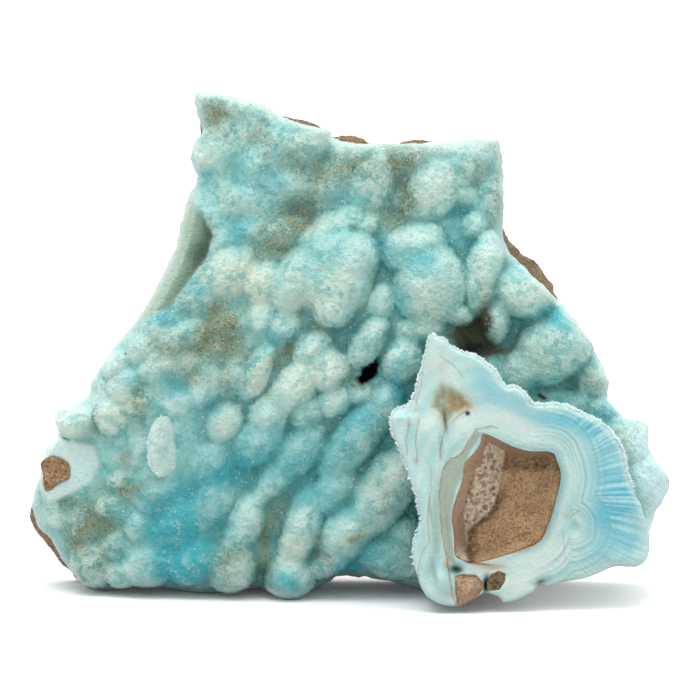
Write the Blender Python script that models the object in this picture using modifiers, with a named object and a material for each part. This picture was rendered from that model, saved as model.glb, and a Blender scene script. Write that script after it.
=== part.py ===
"""An aragonite hand specimen that stands on its own feet.

It is a slab of blue crust covered in rounded lumps, grown on brown host rock. At its lower right a thick
stub comes forward and was broken across, so that a core of host rock shows in the middle of the break.

Outlines are drawn in millimetres on a sheet that leans back, as (across, up) points, and a depth in
millimetres says how far behind the sheet's middle a surface lies. SHEET turns the three into world metres.
"""

import math

import bmesh
import bpy
import numpy as np
from mathutils import Matrix, noise, Vector

MM = 0.001

# The sheet: its lean, the height up it of the ground at depth 0, and the move that centres the specimen
LEAN = math.radians(8.0)
GROUND_UP = 1.46
CENTRE_ACROSS = 0.0
CENTRE_BACK = 5.0

# Gap between neighbouring pieces
GAP = 0.3

# Depths of the crust's front, of the plane where it meets the host rock, and of the rock's rough back
FRONT_MIDDLE = -9.0
FRONT_TOP_BACK = 11.0
FRONT_LEFT_BACK = 9.0
FRONT_RIGHT_BACK = 6.0
SKIRT_FORWARD = 8.0
ROCK_FACE_FOOT = 13.0
ROCK_FACE_SLOPE = -0.03
ROCK_BACK = 17.0
ROCK_ROUGH = 1.3

# The broken face of the stub
BREAK_RIDGE = 17.5
BREAK_DEPTH = -29.5
STUB_BACK = -4.0

# The backs of the pockets that hold the small pieces of rock, and of the hole in the middle of the front
CORE_BACK = -19.0
KNOB_BACK = -25.0
CHIP_BACK = -23.5
TIP_DEPTH = -2.2
TIP_ROCK_BACK = 3.0
HOLE_BACK = 4.0

# The rim of the crust rounds back over this width, which is narrower along the broken top edge
RIM_WIDTH = 6.0
TOP_RIM_WIDTH = 2.8
RIM_DROP = 8.0
TOP_EDGE_UP = 78.0

# Behind a front layer the walls step in by this much, and balls of crust fill them out again
WALL_STEP = 1.3
SLAB_FRONT_LAYER = 6.5
STUB_FRONT_LAYER = 3.5
WALL_FOOT = 8.0
WALL_BALL = 3.6
WALL_PITCH = 3.3
WALL_BALL_BEHIND_FRONT = 5.5
WALL_BALL_CLEAR = 0.7
SLAB_WALL_LAST = 9.5
STUB_WALL_LAST = -9.0

# A piece of rock is drawn this much wider and deeper than its pocket, and then cut to fit it
FIT_MARGIN = 1.5
FIT_DEPTH = 3.0

# Sizes of the cells that the shapes are worked in, and how many triangles each piece keeps
CELL = 1.5
FINE_CELL = 0.7
SKIN_CELL = 0.95
CRUST_TRIANGLES = 7500
ROCK_TRIANGLES = 1250
CORE_TRIANGLES = 520
BIT_TRIANGLES = 110

CRUST_BOTTOM = [
    (52.6, 6.8), (49.2, 5.4), (46.2, 4.4), (42.8, 3.9), (39.6, 3.1), (37.8, 3.2), (36.6, 2.0),
    (34.4, 0.6), (30.8, -0.4), (29.6, 0.8), (27.0, 1.6), (25.6, 1.0), (23.2, -0.4), (21.0, -1.1),
    (18.2, -0.7), (16.0, 0.4), (14.8, 1.6),
]
CRUST_OUTLINE = [
    (-30.6, 101.6), (-24.0, 100.6), (-17.6, 99.2), (-13.4, 96.6), (-9.4, 95.2), (-4.4, 94.0),
    (-3.0, 92.2), (3.0, 91.4), (14.0, 91.4), (22.0, 92.0), (28.0, 92.2), (30.0, 91.4), (30.6, 86.0),
    (30.8, 78.0), (30.6, 73.6), (32.0, 69.6), (35.6, 65.6), (40.0, 61.4), (45.0, 56.0), (49.6, 49.0),
    (51.6, 44.0), (51.8, 40.0), (55.0, 36.4), (57.6, 36.0), (59.6, 34.4), (59.6, 31.0), (61.4, 28.0),
    (63.4, 25.0), (63.6, 22.0), (61.0, 17.2), (60.0, 14.0), (59.6, 9.0), (57.8, 7.2), *CRUST_BOTTOM,
    (10.0, 3.2), (6.0, 4.0), (-1.0, 5.0), (-4.0, 3.8), (-7.0, 2.0), (-10.0, 0.4), (-12.0, 0.0),
    (-14.4, 0.6), (-17.6, 2.0), (-22.0, 1.6), (-29.0, 1.0), (-34.0, 1.8), (-40.0, 2.4), (-44.0, 2.2),
    (-48.0, 1.4), (-51.0, 1.6), (-54.0, 3.4), (-57.0, 7.0), (-60.0, 12.0), (-62.4, 14.4),
    (-63.6, 18.0), (-63.4, 21.0), (-62.4, 24.0), (-61.6, 27.6), (-60.4, 30.4), (-58.4, 33.0),
    (-59.0, 36.0), (-58.0, 38.0), (-55.0, 39.0), (-52.4, 41.0), (-51.6, 44.0), (-49.0, 48.0),
    (-46.0, 52.0), (-42.0, 57.0), (-39.0, 62.0), (-36.4, 67.0), (-34.4, 72.0), (-33.6, 76.0),
    (-32.0, 81.0), (-30.6, 84.0), (-31.6, 87.6), (-32.0, 89.0), (-30.8, 92.0), (-29.4, 93.6),
    (-30.4, 97.0),
]
BREAK_OUTLINE = [
    (16.4, 52.8), (18.6, 52.0), (20.2, 50.6), (22.8, 49.4), (25.2, 48.6), (27.0, 47.2), (29.0, 45.6),
    (29.8, 44.0), (31.2, 42.4), (32.8, 42.6), (35.0, 41.0), (36.6, 39.1), (42.4, 38.9), (46.2, 37.2),
    (49.6, 35.6), (52.6, 32.8), (54.4, 29.0), (55.6, 24.0), (58.0, 19.0), (59.4, 14.0), (59.4, 9.2),
    (57.4, 6.9), *CRUST_BOTTOM, (13.6, 4.2), (12.5, 8.8), (13.2, 12.6), (14.0, 15.8), (13.6, 19.6),
    (12.9, 22.2), (11.7, 25.7), (10.2, 29.6), (8.3, 34.9), (9.0, 37.6), (11.0, 38.7), (12.5, 39.8),
    (13.6, 43.3), (14.8, 47.9), (15.6, 51.0),
]
CORE_OUTLINE = [
    (26.2, 33.2), (27.4, 33.2), (30.4, 31.8), (32.8, 30.7), (35.8, 29.9), (40.0, 29.7), (41.2, 28.0),
    (42.0, 24.9), (41.2, 20.7), (39.6, 15.4), (37.8, 11.9), (33.5, 10.0), (29.0, 8.5), (24.4, 7.5),
    (22.4, 8.1), (20.9, 9.2), (20.7, 12.7), (20.3, 17.3), (21.3, 21.1), (22.4, 24.2), (22.8, 27.2),
    (24.7, 29.5), (25.9, 31.4),
]
KNOB_OUTLINE = [
    (20.9, 5.0), (22.4, 5.4), (25.0, 5.2), (26.2, 4.0), (26.6, 2.6), (25.2, 0.6), (23.0, -0.6),
    (21.4, -1.0), (21.0, 2.0),
]
CHIP_OUTLINE = [
    (28.2, 5.2), (29.6, 6.0), (31.0, 5.4), (30.8, 3.8), (29.8, 2.2), (28.2, 2.0), (27.3, 3.0),
    (27.5, 4.2),
]
TIP_OUTLINE = [
    (-59.4, 28.8), (-56.8, 27.6), (-56.0, 26.2), (-56.2, 24.4), (-58.0, 23.6), (-60.8, 21.6),
    (-61.4, 25.0), (-61.8, 27.4),
]
TIP_FACET = [
    (-58.6, 32.8), (-51.0, 30.8), (-49.8, 27.6), (-51.4, 23.8), (-56.0, 20.8), (-60.6, 18.6),
    (-62.2, 22.0), (-62.2, 24.0), (-61.6, 27.6), (-60.4, 30.4),
]
SHARD_OUTLINE = [
    (-37.4, 36.8), (-39.4, 34.4), (-40.2, 30.8), (-39.8, 27.0), (-37.4, 24.8), (-33.0, 26.6),
    (-31.8, 30.8), (-34.0, 35.0),
]
HOLE_OUTLINE = [
    (0.8, 44.2), (2.0, 45.4), (2.2, 46.6), (3.8, 47.2), (5.6, 48.6), (5.8, 45.6), (5.2, 44.4),
    (2.6, 42.6),
]
# The host rock shows past the crust along the top, the upper right and the lower left
ROCK_OUTLINE = [
    (-29.4, 100.0), (-24.0, 99.4), (-18.0, 98.0), (-14.0, 96.8), (-11.0, 96.3), (-8.6, 95.9),
    (-6.4, 95.0), (-4.8, 93.4), (-3.6, 92.6), (-0.6, 92.9), (2.4, 92.4), (3.8, 91.6), (8.0, 90.6),
    (11.0, 91.9), (15.0, 91.9), (20.0, 91.0),
    (28.0, 91.0), (29.4, 86.0), (29.8, 78.0), (31.0, 73.6), (33.6, 70.0), (37.4, 67.4), (40.4, 63.0),
    (43.0, 56.8), (48.0, 49.0), (50.0, 40.0), (54.0, 33.0), (56.0, 24.0), (54.0, 14.0), (46.0, 7.0),
    (38.0, 2.6), (20.0, 2.6), (0.0, 2.8), (-20.0, 2.4), (-50.0, 2.6), (-56.6, 6.0), (-61.0, 11.2),
    (-63.8, 15.6), (-63.9, 18.6), (-62.8, 22.0), (-60.0, 28.0), (-56.0, 36.0), (-50.0, 42.0),
    (-44.0, 52.0), (-38.0, 60.0), (-34.0, 69.0), (-31.0, 80.0), (-30.0, 90.0),
]

# Lumps of the crust: across, up, half length, half width, turn in degrees, rise in front of the crust
LUMPS = [
    (-25.0, 90.0, 7.6, 6.0, 60, 1.6), (-16.0, 88.0, 8.4, 6.0, 50, 2.0), (-8.4, 91.6, 5.4, 4.4, 80, 2.6),
    (-22.0, 79.0, 4.8, 3.6, 20, 1.7), (-13.6, 83.0, 5.2, 3.6, 50, 1.5), (-3.0, 84.0, 4.8, 4.0, 75, 2.2),
    (4.4, 83.0, 6.4, 4.8, 60, 2.8), (-1.0, 75.6, 5.2, 3.2, 20, 1.8), (3.6, 75.0, 3.2, 2.8, 40, 1.8),
    (-13.0, 73.0, 5.4, 3.6, 30, 2.2), (-20.4, 73.0, 4.4, 3.6, 60, 1.4), (0.0, 88.4, 4.8, 2.8, 0, 1.0),
    (16.0, 81.0, 8.0, 5.4, 70, 2.8), (15.0, 89.0, 5.6, 2.6, 10, 1.4), (26.0, 87.0, 5.2, 3.6, 60, 1.8),
    (24.6, 74.6, 3.4, 2.8, 60, 2.4), (28.0, 80.6, 5.2, 2.8, 85, 1.4), (-25.0, 65.0, 8.0, 4.8, 35, 2.8),
    (-17.0, 63.0, 5.4, 4.6, 60, 2.8), (-30.0, 60.0, 4.6, 3.4, 40, 1.6), (-24.4, 55.0, 4.4, 3.4, 30, 2.2),
    (-33.0, 52.4, 6.2, 3.8, 25, 2.2), (-38.0, 47.0, 5.0, 3.4, 30, 1.8), (-29.0, 43.0, 5.4, 3.8, 60, 2.3),
    (-23.6, 44.6, 4.8, 3.2, 62, 2.2), (-18.4, 45.6, 6.6, 3.4, 62, 3.4), (-44.0, 43.0, 5.0, 3.6, 30, 1.8),
    (-37.0, 55.0, 4.4, 3.2, 40, 1.4), (-41.0, 50.0, 4.2, 3.0, 40, 1.3), (-46.4, 47.0, 3.6, 2.8, 45, 1.2),
    (-32.0, 47.6, 3.6, 2.8, 30, 1.5), (-27.0, 49.6, 3.4, 2.6, 40, 1.4), (-25.0, 36.0, 5.0, 3.9, 55, 3.3),
    (-34.0, 40.0, 4.2, 3.0, 30, 1.4), (-47.0, 37.0, 4.8, 4.0, 70, 2.6), (-54.0, 35.4, 4.6, 3.6, 10, 2.2),
    (-42.0, 39.0, 3.4, 2.8, 40, 1.3), (-3.2, 64.6, 9.8, 8.2, 80, 6.2), (0.6, 67.6, 6.8, 5.6, 60, 6.0),
    (-3.8, 58.4, 4.2, 3.8, 90, 5.0), (-11.0, 63.6, 7.8, 5.2, 65, 4.6), (-5.2, 72.4, 6.8, 4.4, 40, 3.4),
    (16.0, 63.2, 8.8, 8.0, 80, 6.8), (13.0, 70.0, 7.4, 5.8, 20, 4.8), (26.4, 66.4, 7.2, 3.4, 82, 4.8),
    (34.4, 61.4, 6.8, 5.4, -30, 6.2), (29.4, 56.4, 5.8, 3.4, 85, 5.6), (40.4, 50.4, 8.8, 7.4, 45, 6.2),
    (44.4, 57.0, 7.4, 4.4, -55, 2.6), (35.0, 47.0, 5.6, 4.4, 60, 3.2), (48.2, 43.0, 5.2, 4.4, -75, 4.2),
    (42.0, 39.2, 7.4, 4.0, 0, 3.6), (21.2, 57.6, 4.2, 3.0, -30, 3.4), (13.6, 54.2, 5.4, 3.0, 10, 3.6),
    (10.6, 48.4, 5.4, 4.4, 75, 4.6), (3.6, 51.8, 6.2, 3.8, 50, 4.4), (6.4, 59.0, 3.6, 2.9, 60, 3.6),
    (-4.6, 46.4, 5.3, 4.9, 90, 5.0), (-7.4, 50.4, 5.2, 3.6, 40, 4.0), (-11.0, 43.0, 7.2, 4.8, 48, 4.8),
    (-16.0, 37.6, 5.6, 4.2, 48, 3.4), (-13.2, 55.0, 3.4, 2.8, 40, 2.8), (-17.6, 56.6, 4.0, 3.4, 60, 2.2),
    (-3.0, 40.4, 4.4, 3.6, 45, 3.6), (2.2, 41.2, 3.0, 2.4, 30, 2.8), (-8.4, 38.0, 4.8, 3.4, 45, 3.2),
    (1.4, 32.8, 11.4, 4.8, 50, 4.6), (7.4, 40.0, 4.8, 3.5, 60, 3.6), (-10.0, 30.2, 7.6, 4.6, 48, 3.4),
    (-18.4, 32.0, 7.0, 5.0, 45, 3.2), (-27.0, 28.0, 6.2, 4.2, 45, 2.0), (7.0, 22.4, 12.0, 6.0, 55, 5.4),
    (10.4, 24.4, 7.6, 4.4, 65, 5.8), (-0.4, 14.4, 8.8, 5.2, 52, 4.8), (-3.0, 22.6, 7.0, 4.2, 55, 3.8),
    (-9.4, 15.4, 9.8, 4.4, 74, 4.4), (-12.0, 4.8, 5.6, 5.2, 60, 4.8), (-20.6, 16.0, 9.2, 3.7, 64, 3.4),
    (-15.0, 24.4, 5.8, 3.8, 50, 2.8), (-23.4, 6.6, 5.6, 5.0, 60, 3.2), (-27.4, 20.4, 5.6, 4.2, 50, 2.2),
    (-33.0, 16.0, 6.8, 4.8, 40, 1.7), (-31.0, 8.0, 6.2, 4.6, 30, 2.0), (-40.0, 7.0, 6.2, 4.6, 10, 1.7),
    (-38.0, 21.0, 5.2, 3.6, 30, 1.5), (-3.6, 8.4, 5.8, 3.2, 35, 2.8), (8.0, 8.6, 7.0, 4.4, -15, 2.0),
    (11.0, 14.0, 4.2, 3.2, 20, 1.8), (-51.0, 7.4, 5.2, 5.0, 40, 2.6), (-46.0, 11.6, 4.4, 3.4, 40, 1.7),
    (-53.0, 15.0, 4.6, 3.4, -50, 2.0), (-48.0, 19.0, 4.0, 2.8, 20, 1.6), (-42.0, 15.0, 3.8, 3.0, 40, 1.5),
    (-46.0, 24.0, 3.2, 2.6, 30, 1.2), (-45.4, 5.6, 4.0, 3.4, 10, 1.6), (-58.4, 17.4, 3.6, 3.0, -60, 1.4),
    (-42.4, 30.0, 4.2, 2.6, 80, 1.1), (55.0, 32.0, 5.8, 4.6, -40, 3.2), (58.4, 23.6, 7.0, 5.4, 80, 3.8),
    (57.0, 13.0, 5.0, 3.8, 80, 4.4), (51.6, 37.4, 4.2, 3.2, -30, 2.6),
]
LUMP_ROUNDNESS = 0.85

# Places where the crust sinks between its lumps: across, up, radius, depth
DIPS = [
    (26.0, 53.4, 5.2, 5.0), (3.8, 46.0, 3.4, 2.6), (-9.0, 76.8, 3.4, 3.2), (-30.0, 68.6, 2.6, 1.6),
    (10.6, 83.0, 2.2, 1.8), (9.4, 77.6, 2.4, 2.0), (22.0, 77.6, 2.4, 1.8), (-11.6, 50.2, 1.8, 1.4),
    (-16.6, 12.4, 1.8, 1.8), (-17.6, 5.6, 1.8, 2.0), (-6.6, 6.8, 1.6, 1.6), (12.6, 16.4, 2.4, 2.4),
    (34.2, 53.8, 1.8, 1.6),
]

# Half the thickness of a block before its two sides are moved to their depths
HALF_THICKNESS = 8.0

# A depth in front of everything, and a size and an outline past everything
IN_FRONT = -60.0
BIG = 400.0
EVERYWHERE = [(-BIG, -BIG), (BIG, -BIG), (BIG, BIG), (-BIG, BIG)]

SHEET = Matrix(
    (
        (MM, 0.0, 0.0, CENTRE_ACROSS * MM),
        (0.0, 0.0, MM, CENTRE_BACK * MM),
        (0.0, MM / math.cos(LEAN), -MM * math.tan(LEAN), -GROUND_UP * MM / math.cos(LEAN)),
        (0.0, 0.0, 0.0, 1.0),
    )
)


def smoothstep(value):
    """0 below 0, 1 above 1, and a smooth rise between them."""
    t = np.clip(value, 0.0, 1.0)
    return t * t * (3.0 - 2.0 * t)


def distance_to(outline, across, up):
    """How far each point is from the nearest side of an outline."""
    start = np.array(outline)
    side = np.roll(start, -1, axis=0) - start
    point = np.stack([across, up], axis=-1)[:, None, :]
    along = np.clip(((point - start) * side).sum(-1) / (side**2).sum(-1), 0.0, 1.0)
    foot = start + along[..., None] * side
    return np.linalg.norm(point - foot, axis=-1).min(axis=1)


def grown(outline, by):
    """The outline with each corner moved out by this much along the mean of its two sides' normals."""
    points = np.array(outline)
    before = points - np.roll(points, 1, axis=0)
    after = np.roll(points, -1, axis=0) - points
    turned = np.cross(before, after).sum()
    way = np.stack([before[:, 1] + after[:, 1], -before[:, 0] - after[:, 0]], axis=-1)
    way /= np.linalg.norm(way, axis=1)[:, None]
    return points + way * by * np.sign(turned)


def stepped_in(outline):
    """The outline of a body behind its front layer: stepped in, except along the foot."""
    inner = grown(outline, -WALL_STEP)
    return [tuple(new) if old[1] > WALL_FOOT else old for new, old in zip(inner, outline)]


def wall_balls(outline, front, last):
    """Balls along a wall as (across, up, depth, radius), each touching the clockwise outline from inside.

    They lie between the front surface there and the last depth. Their sizes and depths step through their
    ranges by a golden ratio, so that no two neighbours match.
    """
    corners = np.array(outline)
    sides = np.roll(corners, -1, axis=0) - corners
    lengths = np.linalg.norm(sides, axis=1)
    ends = np.cumsum(lengths)
    balls = []
    for count, place in enumerate(np.arange(WALL_PITCH / 2.0, ends[-1], WALL_PITCH)):
        side = int(np.searchsorted(ends, place))
        point = corners[side] + sides[side] * (place - ends[side] + lengths[side]) / lengths[side]
        if point[1] < WALL_FOOT:
            continue
        radius = WALL_BALL * (0.8 + 0.5 * ((count * 0.414) % 1.0))
        first = float(front(point[:1], point[1:])[0]) + WALL_BALL_BEHIND_FRONT
        depth = first + (last - first) * ((count * 0.618) % 1.0)
        inward = np.array((sides[side][1], -sides[side][0])) / lengths[side]
        centre = point + inward * radius
        if distance_to(outline, centre[:1], centre[1:])[0] < WALL_BALL_CLEAR * radius:
            continue
        balls.append((*centre, depth, radius))
    return balls


def rough(across, up, cell, seed):
    """Smooth noise between about -1 and 1 on the sheet, with bumps about one cell wide."""
    return np.array([noise.noise(Vector((a / cell, u / cell, seed))) for a, u in zip(across, up)])


def crust_front(across, up):
    """Depth of the crust behind its lumps, which falls back at the top, at both ends and at the rim."""
    depth = FRONT_MIDDLE + FRONT_TOP_BACK * smoothstep((up - 40.0) / 60.0)
    depth = depth + FRONT_LEFT_BACK * smoothstep((-across - 35.0) / 28.0)
    depth = depth + FRONT_RIGHT_BACK * smoothstep((across - 30.0) / 30.0)
    depth = depth - SKIRT_FORWARD * smoothstep((across - 42.0) / 8.0) * smoothstep((42.0 - up) / 8.0)
    for dip_across, dip_up, radius, deep in DIPS:
        depth = depth + deep * np.exp(-((across - dip_across) ** 2 + (up - dip_up) ** 2) / radius**2)
    return depth


def crust_face(across, up):
    """The crust's front with its rounded rim, which is narrower along the broken top edge."""
    width = RIM_WIDTH + (TOP_RIM_WIDTH - RIM_WIDTH) * smoothstep((up - TOP_EDGE_UP) / 8.0)
    inward = 1.0 - np.clip(distance_to(CRUST_OUTLINE, across, up) / width, 0.0, 1.0)
    return crust_front(across, up) + RIM_DROP * (1.0 - np.sqrt(1.0 - inward**2))


def slab_layer_back(across, up):
    return crust_face(across, up) + SLAB_FRONT_LAYER


def slab_body_front(across, up):
    return crust_face(across, up) + 1.0


def slab_back(across, up):
    """The back of the crust, which rounds forward at its rim except along the foot."""
    inward = 1.0 - np.clip(distance_to(CRUST_OUTLINE, across, up) / RIM_WIDTH, 0.0, 1.0)
    lifted = smoothstep((up - WALL_FOOT) / 8.0)
    return rock_front(across, up) + 1.0 - 4.5 * (1.0 - np.sqrt(1.0 - inward**2)) * lifted


def break_face(across, up):
    """The broken face of the stub: a ridge near its left side, from which it falls back both ways."""
    left = 0.75 * np.maximum(BREAK_RIDGE - across, 0.0)
    right = 0.16 * np.maximum(across - BREAK_RIDGE, 0.0)
    top = 0.06 * np.maximum(up - 20.0, 0.0)
    return BREAK_DEPTH + left + right + top


def stub_layer_back(across, up):
    return break_face(across, up) + STUB_FRONT_LAYER


def stub_body_front(across, up):
    return break_face(across, up) + 1.0


def core_face(across, up):
    """The core is set back in the break, deepest along a crease from its upper middle to its lower left."""
    crease = 30.0 - 0.42 * (28.0 - up)
    left_wall = smoothstep((across - (crease - 9.0)) / 9.0)
    right_floor = smoothstep((across - crease) / 12.0)
    recess = 0.6 + 3.2 * left_wall - 1.9 * right_floor
    rim = 1.0 - smoothstep(distance_to(CORE_OUTLINE, across, up) / 2.2)
    return break_face(across, up) + recess * (1.0 - 0.75 * rim) + 0.35 * rough(across, up, 2.6, 5.0)


def knob_face(across, up):
    return break_face(across, up) + 0.4 + 0.3 * rough(across, up, 1.6, 3.0)


def chip_face(across, up):
    return break_face(across, up) + 1.2 + 0.3 * rough(across, up, 1.2, 7.0)


def tip_face(across, up):
    """The broken left tip is flat and faces a little to the left."""
    return np.full(len(up), TIP_DEPTH) - 0.10 * (across + 56.0)


def tip_rock_face(across, up):
    return tip_face(across, up) + 0.35 + 0.25 * rough(across, up, 1.8, 9.0)


def shard_face(across, up):
    """The pale shard stands proud at its left edge and sinks into the crust at its right."""
    return crust_front(across, up) - 3.4 + 0.42 * np.maximum(across + 39.0, 0.0)


def rock_back(across, up):
    """The rough back of the host rock, thinner towards its rim."""
    rim = 1.0 - smoothstep(distance_to(ROCK_OUTLINE, across, up) / 7.0)
    lumps = ROCK_ROUGH * rough(across, up, 15.0, 1.0) + 0.5 * ROCK_ROUGH * rough(across, up, 6.0, 2.0)
    swell = 2.4 * np.exp(-(((across + 4.0) / 34.0) ** 2) - ((up - 34.0) / 30.0) ** 2)
    return ROCK_BACK + ROCK_FACE_SLOPE * up + swell + lumps * (1.0 - 0.6 * rim) - 1.6 * rim


def rock_front(across, up):
    """The plane on which the crust and the host rock meet."""
    return ROCK_FACE_FOOT + ROCK_FACE_SLOPE * up + 0.0 * across


def behind_rock_front(across, up):
    return rock_front(across, up) + GAP


def depth_of(surface, across, up):
    """A surface is either one depth for all points or a function of across and up."""
    return surface(across, up) if callable(surface) else np.full(len(across), surface)


def link(obj, collection):
    collection.objects.link(obj)
    return obj


def settled(obj):
    """Gives the object the mesh that its modifiers make, and takes them off."""
    graph = bpy.context.evaluated_depsgraph_get()
    mesh = bpy.data.meshes.new_from_object(obj.evaluated_get(graph))
    obj.modifiers.clear()
    obj.data = mesh
    return obj


def remeshed(obj, cell):
    """One closed skin around everything in the object, in even cells of this size."""
    skin = obj.modifiers.new("skin", "REMESH")
    skin.mode = "VOXEL"
    skin.voxel_size = cell
    return settled(obj)


def thinned(obj, triangles):
    """The same shape with about this many triangles."""
    fewer = obj.modifiers.new("fewer", "DECIMATE")
    fewer.ratio = min(1.0, triangles / (2.0 * len(obj.data.polygons)))
    return settled(obj)


def joined(obj, other, operation):
    """Applies one Boolean, which cuts, keeps or adds the other object."""
    join = obj.modifiers.new("join", "BOOLEAN")
    join.operation = operation
    join.solver = "EXACT"
    join.object = other
    return settled(obj)


def block(name, outline, front, back, collection, cell=0.0):
    """A closed block with this outline, from its front surface to its back one.

    With a cell it is divided first, so that its faces can curve.
    """
    half = HALF_THICKNESS
    curve = bpy.data.curves.new(name, "CURVE")
    curve.dimensions = "2D"
    curve.fill_mode = "BOTH"
    curve.extrude = half
    spline = curve.splines.new("POLY")
    spline.points.add(len(outline) - 1)
    for point, (across, up) in zip(spline.points, outline):
        point.co = (across, up, 0.0, 1.0)
    spline.use_cyclic_u = True
    drawn = link(bpy.data.objects.new(name + "_outline", curve), collection)
    graph = bpy.context.evaluated_depsgraph_get()
    mesh = bpy.data.meshes.new_from_object(drawn.evaluated_get(graph))
    bpy.data.objects.remove(drawn)
    welded = bmesh.new()
    welded.from_mesh(mesh)
    bmesh.ops.remove_doubles(welded, verts=welded.verts, dist=0.0001)
    welded.to_mesh(mesh)
    welded.free()
    solid = link(bpy.data.objects.new(name, mesh), collection)
    if cell:
        remeshed(solid, cell)
    place(solid, front, back, half)
    return solid


def place(solid, front, back, half):
    """Moves a flat block's points to their depths and then from the sheet to the world."""
    points = np.empty(len(solid.data.vertices) * 3)
    solid.data.vertices.foreach_get("co", points)
    across, up, height = points.reshape(-1, 3).T
    near = depth_of(front, across, up)
    far = depth_of(back, across, up)
    behind = np.clip((half - height) / (2.0 * half), 0.0, 1.0)
    on_sheet = np.stack([across, up, near + (far - near) * behind, np.ones(len(up))], axis=-1)
    world = on_sheet @ np.array(SHEET).T
    solid.data.vertices.foreach_set("co", world[:, :3].ravel())
    solid.data.update()


def ball(balls, centre, size, turn=0.0, subdivisions=3):
    """Adds a ball stretched to its three half sizes and turned on the sheet, about its centre there."""
    turned = Matrix.Rotation(math.radians(turn), 4, "Z")
    stretched = Matrix.Diagonal((size[0], size[1], -size[2], 1.0))
    matrix = SHEET @ Matrix.Translation(centre) @ turned @ stretched
    bmesh.ops.create_icosphere(balls, subdivisions=subdivisions, radius=1.0, matrix=matrix)


def lumps(collection):
    """All the rounded lumps of the front and of the walls as one object."""
    balls = bmesh.new()
    for across, up, long, wide, turn, rise in LUMPS:
        thick = max(wide * LUMP_ROUNDNESS, rise + 1.5)
        base = float(crust_front(np.array([across]), np.array([up]))[0])
        ball(balls, (across, up, base - rise + thick), (long, wide, thick), turn)
    slab_wall = wall_balls(CRUST_OUTLINE, crust_front, SLAB_WALL_LAST)
    stub_wall = wall_balls(BREAK_OUTLINE, break_face, STUB_WALL_LAST)
    for across, up, depth, radius in slab_wall + stub_wall:
        ball(balls, (across, up, depth), (radius,) * 3, subdivisions=2)
    mesh = bpy.data.meshes.new("lumps")
    balls.to_mesh(mesh)
    balls.free()
    return link(bpy.data.objects.new("lumps", mesh), collection)


def merged(name, pieces, collection):
    """One object that holds the meshes of several."""
    together = bmesh.new()
    for piece in pieces:
        together.from_mesh(piece.data)
        bpy.data.objects.remove(piece)
    mesh = bpy.data.meshes.new(name)
    together.to_mesh(mesh)
    together.free()
    return link(bpy.data.objects.new(name, mesh), collection)


def ground_box(name, size, collection):
    """A cube in world metres whose top is the ground."""
    box = bmesh.new()
    bmesh.ops.create_cube(box, size=size, matrix=Matrix.Translation((0.0, 0.0, -size / 2.0)))
    mesh = bpy.data.meshes.new(name)
    box.to_mesh(mesh)
    box.free()
    return link(bpy.data.objects.new(name, mesh), collection)


def material(name, colour, roughness):
    made = bpy.data.materials.new(name)
    made.use_nodes = True
    shader = made.node_tree.nodes["Principled BSDF"]
    shader.inputs["Base Color"].default_value = (*colour, 1.0)
    shader.inputs["Roughness"].default_value = roughness
    shader.inputs["Metallic"].default_value = 0.0
    return made


def finish(obj, made):
    obj.data.materials.clear()
    obj.data.materials.append(made)
    obj.data.shade_smooth()
    obj.data.set_sharp_from_angle(angle=math.radians(40.0))


def rock_in_pocket(name, outline, face, back, triangles, crust, collection, cutters):
    """A piece of rock in a pocket cut into the crust, with a gap between them on every hidden side."""
    pocket = block(name + "_pocket", grown(outline, GAP / 2.0), IN_FRONT, back, cutters)
    joined(crust, pocket, "DIFFERENCE")
    form = block(name, grown(outline, FIT_MARGIN), face, back + FIT_DEPTH, collection, FINE_CELL)
    thinned(form, triangles)
    fit = block(name + "_fit", grown(outline, -GAP / 2.0), IN_FRONT, back - GAP, cutters)
    joined(form, fit, "INTERSECT")
    return form


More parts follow.
